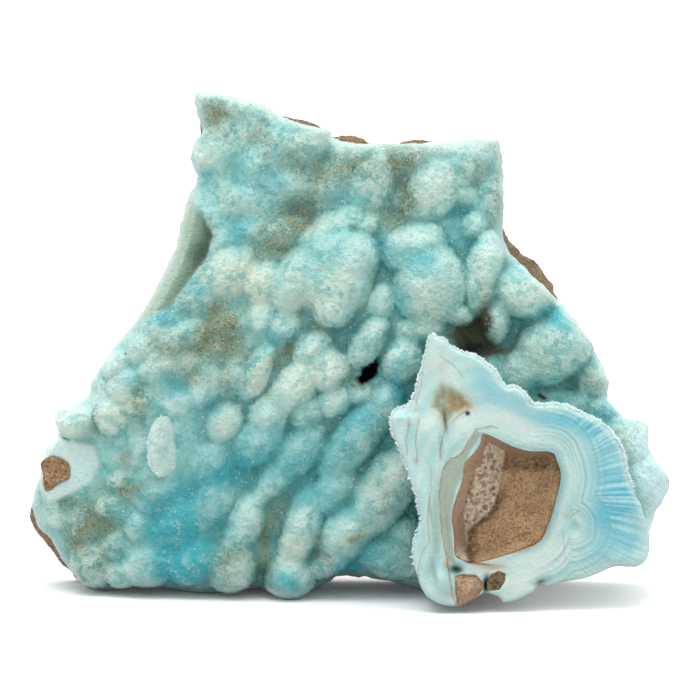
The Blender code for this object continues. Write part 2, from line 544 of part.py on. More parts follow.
def build():
    for obj in list(bpy.data.objects):
        bpy.data.objects.remove(obj)
    parts = bpy.data.collections.new("aragonite_specimen")
    cutters = bpy.data.collections.new("cutters")
    bpy.context.scene.collection.children.link(parts)
    bpy.context.scene.collection.children.link(cutters)

    ground = ground_box("ground", BIG * MM, cutters)
    rock_side = block("rock_side", EVERYWHERE, rock_front, BIG, cutters)
    rock_room = block("rock_room", EVERYWHERE, behind_rock_front, BIG, cutters)

    forms = [
        block("slab_layer", CRUST_OUTLINE, crust_face, slab_layer_back, parts, CELL),
        block("slab_body", stepped_in(CRUST_OUTLINE), slab_body_front, slab_back, parts, CELL),
        block("stub_layer", BREAK_OUTLINE, break_face, stub_layer_back, parts, CELL),
        block("stub_body", stepped_in(BREAK_OUTLINE), stub_body_front, STUB_BACK, parts, CELL),
        block("tip", TIP_FACET, tip_face, 8.0, parts, CELL),
        block("shard", SHARD_OUTLINE, shard_face, 4.0, parts, CELL),
        lumps(parts),
    ]
    crust = merged("aragonite", forms, parts)
    remeshed(crust, SKIN_CELL * MM)
    thinned(crust, CRUST_TRIANGLES)
    joined(crust, rock_side, "DIFFERENCE")
    joined(crust, ground, "DIFFERENCE")
    hole = block("hole", HOLE_OUTLINE, IN_FRONT, HOLE_BACK, cutters)
    joined(crust, hole, "DIFFERENCE")

    rock = block("host_rock_back", ROCK_OUTLINE, behind_rock_front, rock_back, parts, CELL)
    thinned(rock, ROCK_TRIANGLES)
    joined(rock, ground, "DIFFERENCE")
    joined(rock, rock_room, "INTERSECT")

    def bit(name, outline, face, back, triangles):
        return rock_in_pocket(name, outline, face, back, triangles, crust, parts, cutters)

    core = bit("host_rock_core", CORE_OUTLINE, core_face, CORE_BACK, CORE_TRIANGLES)
    knob = bit("host_rock_knob", KNOB_OUTLINE, knob_face, KNOB_BACK, BIT_TRIANGLES)
    chip = bit("host_rock_chip", CHIP_OUTLINE, chip_face, CHIP_BACK, BIT_TRIANGLES)
    end = bit("host_rock_tip", TIP_OUTLINE, tip_rock_face, TIP_ROCK_BACK, BIT_TRIANGLES)

    finish(crust, material("aragonite", (0.36, 0.62, 0.64), 0.55))
    finish(rock, material("host_rock", (0.34, 0.21, 0.13), 0.9))
    for piece in (core, end):
        finish(piece, rock.data.materials[0])
    finish(knob, material("host_rock_light", (0.52, 0.34, 0.25), 0.85))
    finish(chip, material("host_rock_dark", (0.17, 0.10, 0.06), 0.9))
    for cutter in cutters.objects:
        cutter.hide_render = True
        cutter.display_type = "WIRE"


build()
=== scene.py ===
"""A blue aragonite hand specimen on a white ground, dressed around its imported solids.

As in the solids, outlines are drawn in millimetres on a sheet that leans back, as (across, up) points, and a
depth in millimetres says how far behind the sheet's middle a surface lies. stand() makes world metres of them.
"""

import math

import bpy
import numpy as np
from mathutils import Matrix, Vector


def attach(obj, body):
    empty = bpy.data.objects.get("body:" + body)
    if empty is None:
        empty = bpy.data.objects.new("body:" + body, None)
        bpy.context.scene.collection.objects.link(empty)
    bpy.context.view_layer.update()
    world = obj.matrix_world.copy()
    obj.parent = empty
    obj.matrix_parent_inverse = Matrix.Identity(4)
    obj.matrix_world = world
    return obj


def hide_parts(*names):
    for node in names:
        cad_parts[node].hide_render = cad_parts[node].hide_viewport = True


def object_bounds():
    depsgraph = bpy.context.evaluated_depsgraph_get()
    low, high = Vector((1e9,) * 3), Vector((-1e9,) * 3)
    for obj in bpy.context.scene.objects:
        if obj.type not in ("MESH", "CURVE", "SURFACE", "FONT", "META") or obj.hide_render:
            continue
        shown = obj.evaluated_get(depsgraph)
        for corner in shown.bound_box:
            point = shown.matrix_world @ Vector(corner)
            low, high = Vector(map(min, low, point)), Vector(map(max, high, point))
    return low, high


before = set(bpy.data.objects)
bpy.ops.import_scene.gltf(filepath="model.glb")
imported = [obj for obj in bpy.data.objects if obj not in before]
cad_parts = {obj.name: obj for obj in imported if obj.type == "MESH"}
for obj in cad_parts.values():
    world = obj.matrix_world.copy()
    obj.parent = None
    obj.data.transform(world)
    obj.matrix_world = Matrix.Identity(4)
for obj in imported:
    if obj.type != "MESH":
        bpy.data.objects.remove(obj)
cad_box = [list(corner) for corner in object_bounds()]

MM = 0.001
BODY = "root"

# The sheet, as the solids have it
LEAN = math.radians(8.0)
GROUND_UP = 1.46
CENTRE_BACK = 5.0

# The solids' depths that the surfaces keep to
FRONT_MIDDLE = -9.0
FRONT_TOP_BACK = 11.0
FRONT_LEFT_BACK = 9.0
FRONT_RIGHT_BACK = 6.0
SKIRT_FORWARD = 8.0
ROCK_FACE_FOOT = 13.0
ROCK_FACE_SLOPE = -0.03
ROCK_BACK = 17.0
ROCK_ROUGH = 1.3
BREAK_RIDGE = 17.5
BREAK_DEPTH = -29.5
STUB_BACK = -4.0
CORE_BACK = -19.0
KNOB_BACK = -25.0
CHIP_BACK = -23.5
TIP_DEPTH = -2.2
TIP_ROCK_BACK = 3.0
WALL_STEP = 1.3
WALL_FOOT = 8.0
WALL_BALL = 3.6
WALL_PITCH = 3.3
WALL_BALL_BEHIND_FRONT = 5.5
WALL_BALL_CLEAR = 0.7
SLAB_WALL_LAST = 9.5
STUB_WALL_LAST = -9.0

# Middles from which the round surfaces are drawn, on the sheet
STUB_MIDDLE = (31.0, 21.0)
CORE_MIDDLE = (31.0, 20.5)
SLAB_MIDDLE = (0.0, 45.0)

CRUST_BOTTOM = [
    (52.6, 6.8), (49.2, 5.4), (46.2, 4.4), (42.8, 3.9), (39.6, 3.1), (37.8, 3.2), (36.6, 2.0),
    (34.4, 0.6), (30.8, -0.4), (29.6, 0.8), (27.0, 1.6), (25.6, 1.0), (23.2, -0.4), (21.0, -1.1),
    (18.2, -0.7), (16.0, 0.4), (14.8, 1.6),
]
CRUST_OUTLINE = [
    (-30.6, 101.6), (-24.0, 100.6), (-17.6, 99.2), (-13.4, 96.6), (-9.4, 95.2), (-4.4, 94.0),
    (-3.0, 92.2), (3.0, 91.4), (14.0, 91.4), (22.0, 92.0), (28.0, 92.2), (30.0, 91.4), (30.6, 86.0),
    (30.8, 78.0), (30.6, 73.6), (32.0, 69.6), (35.6, 65.6), (40.0, 61.4), (45.0, 56.0), (49.6, 49.0),
    (51.6, 44.0), (51.8, 40.0), (55.0, 36.4), (57.6, 36.0), (59.6, 34.4), (59.6, 31.0), (61.4, 28.0),
    (63.4, 25.0), (63.6, 22.0), (61.0, 17.2), (60.0, 14.0), (59.6, 9.0), (57.8, 7.2), *CRUST_BOTTOM,
    (10.0, 3.2), (6.0, 4.0), (-1.0, 5.0), (-4.0, 3.8), (-7.0, 2.0), (-10.0, 0.4), (-12.0, 0.0),
    (-14.4, 0.6), (-17.6, 2.0), (-22.0, 1.6), (-29.0, 1.0), (-34.0, 1.8), (-40.0, 2.4), (-44.0, 2.2),
    (-48.0, 1.4), (-51.0, 1.6), (-54.0, 3.4), (-57.0, 7.0), (-60.0, 12.0), (-62.4, 14.4),
    (-63.6, 18.0), (-63.4, 21.0), (-62.4, 24.0), (-61.6, 27.6), (-60.4, 30.4), (-58.4, 33.0),
    (-59.0, 36.0), (-58.0, 38.0), (-55.0, 39.0), (-52.4, 41.0), (-51.6, 44.0), (-49.0, 48.0),
    (-46.0, 52.0), (-42.0, 57.0), (-39.0, 62.0), (-36.4, 67.0), (-34.4, 72.0), (-33.6, 76.0),
    (-32.0, 81.0), (-30.6, 84.0), (-31.6, 87.6), (-32.0, 89.0), (-30.8, 92.0), (-29.4, 93.6),
    (-30.4, 97.0),
]
CRUST_CORNERS = [(-30.6, 101.6), (30.0, 91.4), (57.8, 7.2), (-54.0, 3.4)]
BREAK_OUTLINE = [
    (16.4, 52.8), (18.6, 52.0), (20.2, 50.6), (22.8, 49.4), (25.2, 48.6), (27.0, 47.2), (29.0, 45.6),
    (29.8, 44.0), (31.2, 42.4), (32.8, 42.6), (35.0, 41.0), (36.6, 39.1), (42.4, 38.9), (46.2, 37.2),
    (49.6, 35.6), (52.6, 32.8), (54.4, 29.0), (55.6, 24.0), (58.0, 19.0), (59.4, 14.0), (59.4, 9.2),
    (57.4, 6.9), *CRUST_BOTTOM, (13.6, 4.2), (12.5, 8.8), (13.2, 12.6), (14.0, 15.8), (13.6, 19.6),
    (12.9, 22.2), (11.7, 25.7), (10.2, 29.6), (8.3, 34.9), (9.0, 37.6), (11.0, 38.7), (12.5, 39.8),
    (13.6, 43.3), (14.8, 47.9), (15.6, 51.0),
]
CORE_OUTLINE = [
    (26.2, 33.2), (27.4, 33.2), (30.4, 31.8), (32.8, 30.7), (35.8, 29.9), (40.0, 29.7), (41.2, 28.0),
    (42.0, 24.9), (41.2, 20.7), (39.6, 15.4), (37.8, 11.9), (33.5, 10.0), (29.0, 8.5), (24.4, 7.5),
    (22.4, 8.1), (20.9, 9.2), (20.7, 12.7), (20.3, 17.3), (21.3, 21.1), (22.4, 24.2), (22.8, 27.2),
    (24.7, 29.5), (25.9, 31.4),
]
KNOB_OUTLINE = [
    (20.9, 5.0), (22.4, 5.4), (25.0, 5.2), (26.2, 4.0), (26.6, 2.6), (25.2, 0.6), (23.0, -0.6),
    (21.4, -1.0), (21.0, 2.0),
]
CHIP_OUTLINE = [
    (28.2, 5.2), (29.6, 6.0), (31.0, 5.4), (30.8, 3.8), (29.8, 2.2), (28.2, 2.0), (27.3, 3.0),
    (27.5, 4.2),
]
TIP_OUTLINE = [
    (-59.4, 28.8), (-56.8, 27.6), (-56.0, 26.2), (-56.2, 24.4), (-58.0, 23.6), (-60.8, 21.6),
    (-61.4, 25.0), (-61.8, 27.4),
]
TIP_FACET = [
    (-58.6, 32.8), (-51.0, 30.8), (-49.8, 27.6), (-51.4, 23.8), (-56.0, 20.8), (-60.6, 18.6),
    (-62.2, 22.0), (-62.2, 24.0), (-61.6, 27.6), (-60.4, 30.4),
]
SHARD_OUTLINE = [
    (-37.4, 36.8), (-39.4, 34.4), (-40.2, 30.8), (-39.8, 27.0), (-37.4, 24.8), (-33.0, 26.6),
    (-31.8, 30.8), (-34.0, 35.0),
]
HOLE_OUTLINE = [
    (0.8, 44.2), (2.0, 45.4), (2.2, 46.6), (3.8, 47.2), (5.6, 48.6), (5.8, 45.6), (5.2, 44.4),
    (2.6, 42.6),
]
ROCK_OUTLINE = [
    (-29.4, 100.0), (-24.0, 99.4), (-18.0, 98.0), (-14.0, 96.8), (-11.0, 96.3), (-8.6, 95.9),
    (-6.4, 95.0), (-4.8, 93.4), (-3.6, 92.6), (-0.6, 92.9), (2.4, 92.4), (3.8, 91.6), (8.0, 90.6),
    (11.0, 91.9), (15.0, 91.9), (20.0, 91.0),
    (28.0, 91.0), (29.4, 86.0), (29.8, 78.0), (31.0, 73.6), (33.6, 70.0), (37.4, 67.4), (40.4, 63.0),
    (43.0, 56.8), (48.0, 49.0), (50.0, 40.0), (54.0, 33.0), (56.0, 24.0), (54.0, 14.0), (46.0, 7.0),
    (38.0, 2.6), (20.0, 2.6), (14.0, 3.8), (10.0, 4.6), (6.0, 5.6), (-1.0, 6.4), (-4.0, 5.4), (-8.0, 3.4), (-20.0, 2.4), (-50.0, 2.6), (-56.6, 6.0), (-61.0, 11.2),
    (-63.8, 15.6), (-63.9, 18.6), (-62.8, 22.0), (-60.0, 28.0), (-56.0, 36.0), (-50.0, 42.0),
    (-44.0, 52.0), (-38.0, 60.0), (-34.0, 69.0), (-31.0, 80.0), (-30.0, 90.0),
]

# Lumps of the crust: across, up, half length, half width, turn in degrees, rise in front of the crust
LUMPS = [
    (-25.0, 90.0, 7.6, 6.0, 60, 1.6), (-16.0, 88.0, 8.4, 6.0, 50, 2.0), (-8.4, 91.6, 5.4, 4.4, 80, 2.6),
    (-22.0, 79.0, 4.8, 3.6, 20, 1.7), (-13.6, 83.0, 5.2, 3.6, 50, 1.5), (-3.0, 84.0, 4.8, 4.0, 75, 2.2),
    (4.4, 83.0, 6.4, 4.8, 60, 2.8), (-1.0, 75.6, 5.2, 3.2, 20, 1.8), (3.6, 75.0, 3.2, 2.8, 40, 1.8),
    (-13.0, 73.0, 5.4, 3.6, 30, 2.2), (-20.4, 73.0, 4.4, 3.6, 60, 1.4), (0.0, 88.4, 4.8, 2.8, 0, 1.0),
    (16.0, 81.0, 8.0, 5.4, 70, 2.8), (15.0, 89.0, 5.6, 2.6, 10, 1.4), (26.0, 87.0, 5.2, 3.6, 60, 1.8),
    (24.6, 74.6, 3.4, 2.8, 60, 2.4), (28.0, 80.6, 5.2, 2.8, 85, 1.4), (-25.0, 65.0, 8.0, 4.8, 35, 2.8),
    (-17.0, 63.0, 5.4, 4.6, 60, 2.8), (-30.0, 60.0, 4.6, 3.4, 40, 1.6), (-24.4, 55.0, 4.4, 3.4, 30, 2.2),
    (-33.0, 52.4, 6.2, 3.8, 25, 2.2), (-38.0, 47.0, 5.0, 3.4, 30, 1.8), (-29.0, 43.0, 5.4, 3.8, 60, 2.3),
    (-23.6, 44.6, 4.8, 3.2, 62, 2.2), (-18.4, 45.6, 6.6, 3.4, 62, 3.4), (-44.0, 43.0, 5.0, 3.6, 30, 1.8),
    (-37.0, 55.0, 4.4, 3.2, 40, 1.4), (-41.0, 50.0, 4.2, 3.0, 40, 1.3), (-46.4, 47.0, 3.6, 2.8, 45, 1.2),
    (-32.0, 47.6, 3.6, 2.8, 30, 1.5), (-27.0, 49.6, 3.4, 2.6, 40, 1.4), (-25.0, 36.0, 5.0, 3.9, 55, 3.3),
    (-34.0, 40.0, 4.2, 3.0, 30, 1.4), (-47.0, 37.0, 4.8, 4.0, 70, 2.6), (-54.0, 35.4, 4.6, 3.6, 10, 2.2),
    (-42.0, 39.0, 3.4, 2.8, 40, 1.3), (-3.2, 64.6, 9.8, 8.2, 80, 6.2), (0.6, 67.6, 6.8, 5.6, 60, 6.0),
    (-3.4, 59.0, 5.4, 5.2, 90, 5.2), (-11.0, 63.6, 7.8, 5.2, 65, 4.6), (-5.2, 72.4, 6.8, 4.4, 40, 3.4),
    (16.0, 63.2, 8.8, 8.0, 80, 6.8), (13.0, 70.0, 7.4, 5.8, 20, 4.8), (26.6, 65.0, 9.0, 4.4, 82, 4.6),
    (34.4, 61.4, 6.8, 5.4, -30, 6.2), (29.4, 56.4, 5.8, 3.4, 85, 5.6), (40.4, 50.4, 8.8, 7.4, 45, 6.2),
    (44.4, 57.0, 7.4, 4.4, -55, 2.6), (35.0, 47.0, 5.6, 4.4, 60, 3.2), (48.2, 43.0, 5.2, 4.4, -75, 4.2),
    (42.0, 39.2, 7.4, 4.0, 0, 3.6), (21.2, 57.6, 4.2, 3.0, -30, 3.4), (13.6, 54.2, 5.4, 3.0, 10, 3.6),
    (10.6, 48.4, 5.4, 4.4, 75, 4.6), (3.6, 51.8, 6.2, 3.8, 50, 4.4), (6.4, 59.6, 4.4, 3.4, 60, 2.2),
    (-4.6, 46.4, 5.3, 4.9, 90, 5.0), (-7.4, 50.4, 5.2, 3.6, 40, 4.0), (-11.0, 43.0, 7.2, 4.8, 48, 4.8),
    (-16.0, 37.6, 5.6, 4.2, 48, 3.4), (-13.2, 55.0, 4.2, 3.4, 40, 1.9), (-17.6, 56.6, 4.0, 3.4, 60, 2.2),
    (-3.0, 40.4, 4.4, 3.6, 45, 3.6), (2.2, 41.2, 3.0, 2.4, 30, 2.8), (-8.4, 38.0, 4.8, 3.4, 45, 3.2),
    (1.4, 32.8, 11.4, 4.8, 50, 4.6), (7.4, 40.0, 4.8, 3.5, 60, 3.6), (-10.0, 30.2, 7.6, 4.6, 48, 3.4),
    (-18.4, 32.0, 7.0, 5.0, 45, 3.2), (-27.0, 28.0, 6.2, 4.2, 45, 2.0), (7.0, 22.4, 12.0, 6.0, 55, 5.4),
    (10.4, 24.4, 7.6, 4.4, 65, 5.8), (-0.4, 14.4, 8.8, 5.2, 52, 4.8), (-3.0, 22.6, 7.0, 4.2, 55, 3.8),
    (-9.4, 15.4, 9.8, 4.4, 74, 4.4), (-12.0, 4.8, 5.6, 5.2, 60, 4.8), (-20.6, 16.0, 9.2, 3.7, 64, 3.4),
    (-15.0, 24.4, 5.8, 3.8, 50, 2.8), (-23.4, 6.6, 5.6, 5.0, 60, 3.2), (-27.4, 20.4, 5.6, 4.2, 50, 2.2),
    (-33.0, 16.0, 6.8, 4.8, 40, 1.7), (-31.0, 8.0, 6.2, 4.6, 30, 2.0), (-40.0, 7.0, 6.2, 4.6, 10, 1.7),
    (-38.0, 21.0, 5.2, 3.6, 30, 1.5), (-3.6, 8.4, 5.8, 3.2, 35, 2.8), (8.0, 8.6, 7.0, 4.4, -15, 2.0),
    (11.0, 14.0, 4.2, 3.2, 20, 1.8), (-51.0, 7.4, 5.2, 5.0, 40, 2.6), (-46.0, 11.6, 4.4, 3.4, 40, 1.7),
    (-53.0, 15.0, 4.6, 3.4, -50, 2.0), (-48.0, 19.0, 4.0, 2.8, 20, 1.6), (-42.0, 15.0, 3.8, 3.0, 40, 1.5),
    (-46.0, 24.0, 3.2, 2.6, 30, 1.2), (-45.4, 5.6, 4.0, 3.4, 10, 1.6), (-58.4, 17.4, 3.6, 3.0, -60, 1.4),
    (-42.4, 30.0, 4.2, 2.6, 80, 1.1), (55.0, 32.0, 5.8, 4.6, -40, 3.2), (58.4, 23.6, 7.0, 5.4, 80, 3.8),
    (57.0, 13.0, 5.0, 3.8, 80, 4.4), (51.6, 37.4, 4.2, 3.2, -30, 2.6),
]
LUMP_ROUNDNESS = 0.85
LUMP_BLEND = 0.35
LUMP_LEAN = 0.25
VALLEY_FILL = 0.35

# Places where the crust sinks between its lumps: across, up, radius, depth
DIPS = [
    (26.0, 53.4, 5.2, 5.0), (3.8, 46.0, 3.4, 2.6), (-9.0, 76.8, 3.4, 3.2), (-30.0, 68.6, 2.6, 1.6),
    (10.6, 83.0, 2.2, 1.8), (9.4, 77.6, 2.4, 2.0), (22.0, 77.6, 2.4, 1.8), (-11.6, 50.2, 1.8, 1.4),
    (-16.6, 12.4, 1.8, 1.8), (-17.6, 5.6, 1.8, 2.0), (-6.6, 6.8, 1.6, 1.6), (12.6, 16.4, 2.4, 2.4),
    (34.2, 53.8, 1.8, 1.6),
]

# Patches of colour on the crust: across, up, half length, half width, turn in degrees, strength
BLUE_PATCHES = [
    (-29.0, 84.4, 2.2, 1.8, 0, 0.7), (-22.0, 73.6, 2.2, 4.0, 0, 0.9), (-15.0, 89.0, 2.0, 1.8, 0, 0.5),
    (-15.0, 83.0, 1.8, 1.4, 0, 0.6), (-13.4, 94.0, 2.4, 1.8, 0, 0.4), (-17.2, 85.8, 1.4, 1.2, 0, 0.6),
    (-1.0, 81.0, 3.6, 2.6, 0, 0.5), (-17.6, 71.0, 2.4, 2.2, 0, 0.7), (-12.0, 72.0, 1.8, 1.4, 0, 0.5),
    (-6.0, 68.0, 7.0, 3.0, 40, 0.5), (11.0, 87.0, 1.6, 1.6, 0, 0.6), (22.0, 77.0, 3.0, 1.6, 20, 0.8),
    (28.0, 87.0, 2.0, 4.6, 0, 0.3), (12.0, 69.0, 7.0, 2.6, -10, 0.6), (15.0, 66.8, 3.4, 2.0, 0, 0.4),
    (10.0, 60.0, 1.8, 3.0, 0, 0.7), (41.6, 56.2, 4.6, 1.8, -50, 1.0), (34.0, 66.0, 3.4, 2.0, 0, 0.6),
    (-30.0, 62.0, 3.0, 2.0, 0, 0.8), (-38.0, 56.4, 4.6, 1.8, 15, 0.9), (-33.0, 53.0, 2.0, 1.6, 0, 0.6),
    (-23.0, 43.0, 1.8, 1.6, 0, 0.7), (-27.0, 39.0, 3.4, 2.0, 0, 0.6), (-34.0, 42.0, 2.0, 1.6, 0, 0.8),
    (-37.0, 45.0, 3.0, 1.6, 0, 0.4), (-44.0, 44.0, 2.0, 1.6, 0, 0.7), (-25.0, 54.0, 1.8, 1.4, 0, 0.8),
    (-23.6, 58.0, 1.8, 1.6, 0, 0.5), (-15.0, 53.0, 2.6, 2.0, 0, 0.6), (-30.0, 34.0, 2.6, 2.4, 0, 0.5),
    (-36.0, 32.0, 4.4, 4.4, 0, 0.35), (-48.0, 31.0, 2.2, 1.6, 0, 0.4), (-50.0, 26.0, 2.0, 1.6, 0, 0.4),
    (-30.0, 24.0, 12.0, 5.0, 35, 0.5), (-22.0, 27.0, 8.0, 4.0, 40, 0.8), (-13.0, 3.4, 4.4, 3.0, 0, 0.9), (-36.0, 17.0, 7.0, 5.2, 30, 1.1),
    (-33.0, 8.0, 7.6, 5.6, 20, 1.6), (-4.0, 29.0, 7.4, 3.4, 50, 0.4), (3.0, 37.0, 7.0, 3.4, 50, 0.5),
    (0.0, 32.0, 10.0, 4.4, 50, 0.25), (9.0, 44.0, 2.2, 4.0, 0, 0.7), (11.0, 41.0, 2.2, 2.2, 0, 0.8),
    (-12.0, 27.0, 5.4, 3.0, 45, 0.7), (-10.0, 21.0, 5.0, 3.0, 55, 0.7), (-4.0, 20.0, 3.2, 4.8, 0, 0.5),
    (5.0, 8.0, 7.4, 3.4, 0, 0.7), (-2.0, 6.0, 4.2, 1.8, 10, 0.8), (-16.0, 8.0, 2.4, 5.0, 0, 0.3),
    (-25.0, 16.0, 3.4, 3.4, 0, 0.4), (51.4, 37.0, 4.2, 2.2, 0, 0.8), (-48.0, 14.0, 2.0, 1.4, 0, 0.5),
    (-43.0, 21.0, 2.4, 1.6, 0, 0.5), (-46.0, 8.0, 2.0, 1.6, 0, 0.5), (4.0, 51.0, 4.0, 2.4, 50, 0.4),
    (39.0, 44.0, 5.0, 1.6, 20, 0.4), (42.4, 39.4, 3.4, 2.4, 0, 0.9), (48.6, 43.0, 3.0, 2.4, 0, 0.4), (62.0, 22.0, 3.0, 3.0, 0, 0.3), (20.4, 72.0, 3.0, 2.0, 0, 0.5),
]
STAIN_PATCHES = [
    (-25.6, 96.0, 3.0, 2.6, 0, 1.2), (7.0, 21.0, 4.4, 3.6, 30, 0.4), (-27.0, 99.0, 2.0, 1.6, 0, 0.5), (-17.6, 92.0, 1.8, 3.4, 0, 0.5),
    (-10.0, 87.0, 6.4, 3.0, -20, 0.5), (1.0, 87.0, 6.4, 2.6, 0, 0.8), (-4.0, 85.0, 4.2, 2.4, 0, 0.4),
    (11.0, 89.0, 3.8, 3.0, 0, 0.9), (11.0, 81.0, 2.8, 5.4, 0, 0.9), (8.0, 76.0, 2.6, 2.8, 0, 0.6),
    (-12.0, 77.0, 4.2, 3.4, 20, 0.8), (-15.0, 71.0, 5.0, 2.6, 0, 0.9), (-10.0, 75.0, 2.6, 2.2, 0, 0.9),
    (-28.8, 73.2, 1.4, 2.4, -20, 0.9), (-31.0, 67.6, 3.0, 3.0, 0, 0.6),
    (-25.6, 57.0, 3.0, 2.2, -20, 1.4), (-26.6, 54.0, 3.6, 3.0, 60, 1.0),
    (-30.0, 52.0, 6.0, 3.4, 0, 0.8), (-25.0, 51.0, 3.2, 2.8, 0, 0.9), (-38.0, 50.0, 3.8, 2.2, 0, 0.6),
    (-32.0, 45.0, 3.4, 2.8, 0, 0.7), (-25.0, 44.0, 3.0, 3.6, 0, 0.6), (-34.0, 60.0, 3.0, 3.0, 0, 0.4),
    (-43.0, 41.0, 2.2, 3.0, 0, 0.7), (-42.0, 38.0, 2.0, 3.0, 0, 0.6), (-45.0, 28.0, 1.8, 2.2, 0, 0.6),
    (-45.0, 22.0, 4.6, 2.2, 0, 0.9), (-53.0, 17.0, 5.0, 3.4, -20, 0.8), (-54.0, 12.0, 2.6, 4.2, 0, 0.8),
    (-50.0, 8.0, 3.0, 3.4, 0, 0.6), (-53.0, 4.6, 1.8, 2.2, 0, 0.5), (-48.0, 14.0, 3.4, 2.6, 0, 0.6),
    (-26.0, 7.0, 2.2, 3.0, 0, 0.6), (-17.0, 9.0, 1.6, 6.4, 0, 0.9), (-15.0, 17.0, 1.6, 5.0, -30, 0.6),
    (-5.6, 9.0, 1.4, 4.2, 0, 0.6), (-12.8, 50.0, 3.2, 1.6, 45, 0.9), (-6.0, 54.4, 2.2, 1.4, 0, 0.6),
    (30.0, 91.0, 3.0, 1.8, 0, 0.6), (26.0, 85.0, 3.4, 3.4, 0, 0.6), (29.4, 79.0, 1.8, 3.4, 0, 0.6),
    (0.4, 12.2, 1.0, 0.7, 30, 0.9), (1.2, 43.2, 2.0, 1.4, 0, 0.8), (-23.6, 9.0, 3.4, 2.6, 0, 0.5), (49.0, 43.4, 3.4, 3.0, 0, 0.6),
    (-20.0, 47.0, 3.0, 5.0, 20, 0.3), (-58.0, 20.0, 2.6, 2.0, 0, 0.4), (-8.0, 80.0, 3.0, 3.0, 0, 0.5),
]
# Cream patches; those along the top edge and on the right lobes are also painted highlight, lighter where light falls.
CREAM_AND_HIGHLIGHT_PATCHES = [
    (-23.0, 66.0, 7.4, 4.0, 25, 0.8), (-19.6, 62.0, 5.0, 4.0, 0, 1.0), (-4.0, 62.6, 6.4, 7.0, 0, 0.6),
    (-10.0, 60.0, 4.2, 4.2, 0, 0.5), (18.0, 62.0, 6.8, 5.4, 0, 0.5), (15.0, 57.6, 5.0, 2.6, 0, 0.6),
    (16.0, 81.0, 5.0, 5.4, 0, 0.6), (5.0, 83.0, 4.2, 3.4, 0, 0.5), (-23.0, 79.0, 3.8, 2.6, 0, 0.7),
    (-20.0, 93.0, 3.0, 2.6, 0, 0.6), (-29.0, 88.0, 2.2, 2.2, 0, 0.7), (-33.0, 51.0, 5.8, 3.0, 0, 0.5),
    (-38.0, 47.0, 3.4, 2.2, 0, 0.4), (-25.0, 36.0, 4.2, 3.8, 0, 0.8), (-48.0, 39.0, 5.0, 4.2, 0, 0.8),
    (9.0, 26.0, 4.4, 4.0, 30, 0.4), (-10.0, 11.0, 4.2, 5.0, 0, 0.5), (0.4, 12.2, 2.0, 1.4, 30, 1.0),
    (-12.0, 8.0, 4.2, 3.0, 0, 0.4), (-23.0, 7.0, 4.8, 3.8, 0, 0.6), (-27.0, 20.0, 4.2, 3.0, 0, 0.4),
    (48.0, 43.0, 4.2, 4.2, 0, 0.5), (38.0, 48.0, 6.4, 4.6, 0, 0.4), (30.0, 56.0, 2.6, 4.6, 0, 0.4),
    (35.0, 62.0, 5.0, 4.2, 0, 0.6), (26.4, 64.0, 2.4, 5.0, 0, 0.5), (12.0, 54.0, 4.2, 2.2, 0, 0.5),
    (4.0, 51.0, 3.4, 3.4, 0, 0.6), (10.0, 48.0, 2.6, 3.4, 0, 0.4), (-10.0, 44.0, 6.4, 4.2, 0, 0.6),
    (-4.4, 47.0, 4.2, 4.2, 0, 0.6), (-17.0, 45.0, 2.8, 5.2, 0, 0.6), (58.0, 30.0, 5.0, 4.2, 0, 0.7),
    (61.0, 22.0, 2.6, 5.0, 0, 0.7), (-25.0, 100.0, 9.0, 1.4, -8, 0.7), (12.0, 91.4, 22.0, 1.2, 0, 0.7),
    (-12.0, 96.4, 6.0, 1.4, -25, 0.9), (-54.0, 34.0, 5.0, 4.0, 0, 0.7), (-46.0, 8.0, 4.0, 2.0, 20, 0.4),
]
FROST_PATCHES = [
    (59.0, 29.4, 4.4, 4.6, -30, 1.1), (60.6, 22.0, 4.4, 7.0, 0, 1.2), (59.6, 12.0, 3.4, 5.4, 0, 1.1),
    (-50.0, 40.0, 5.0, 1.6, 30, 0.6), (-58.6, 32.0, 2.6, 3.4, 0, 0.6), (8.0, 18.0, 3.0, 4.0, 30, 0.4),
    (44.6, 60.0, 6.0, 1.6, -50, 0.6), (31.0, 70.6, 3.0, 2.6, -40, 0.5),
]

# The cave behind the stub, darkened for its dirt and as painted shade, and black flecks, the last of which is painted
# shade in the cave
CAVE_DIRT_AND_SHADE_PATCHES = [
    (26.0, 55.4, 1.5, 4.6, 0, 1.2), (22.2, 53.2, 3.4, 2.4, 0, 1.2), (29.6, 50.0, 3.4, 1.2, 0, 1.0),
    (25.2, 50.6, 4.0, 2.4, 0, 1.4), (33.2, 50.8, 1.4, 1.8, 0, 0.4),
]
BLACK_FLECKS_AND_CAVE_SHADE = [(38.0, 40.9, 0.6, 0.4, -20, 1.5), (38.8, 40.4, 0.5, 0.35, 0, 1.4), (24.4, 50.2, 3.6, 1.8, 0, 1.0)]

# The smooth old fracture along the upper left edge
LEFT_STRIP = [
    (-32.4, 84.4), (-30.4, 79.0), (-27.2, 72.8), (-28.8, 68.4), (-32.0, 63.6), (-36.4, 58.0),
    (-40.4, 56.4), (-43.4, 53.4), (-42.4, 57.6), (-40.0, 62.4), (-37.4, 66.4), (-35.6, 72.0),
    (-34.0, 79.0),
]

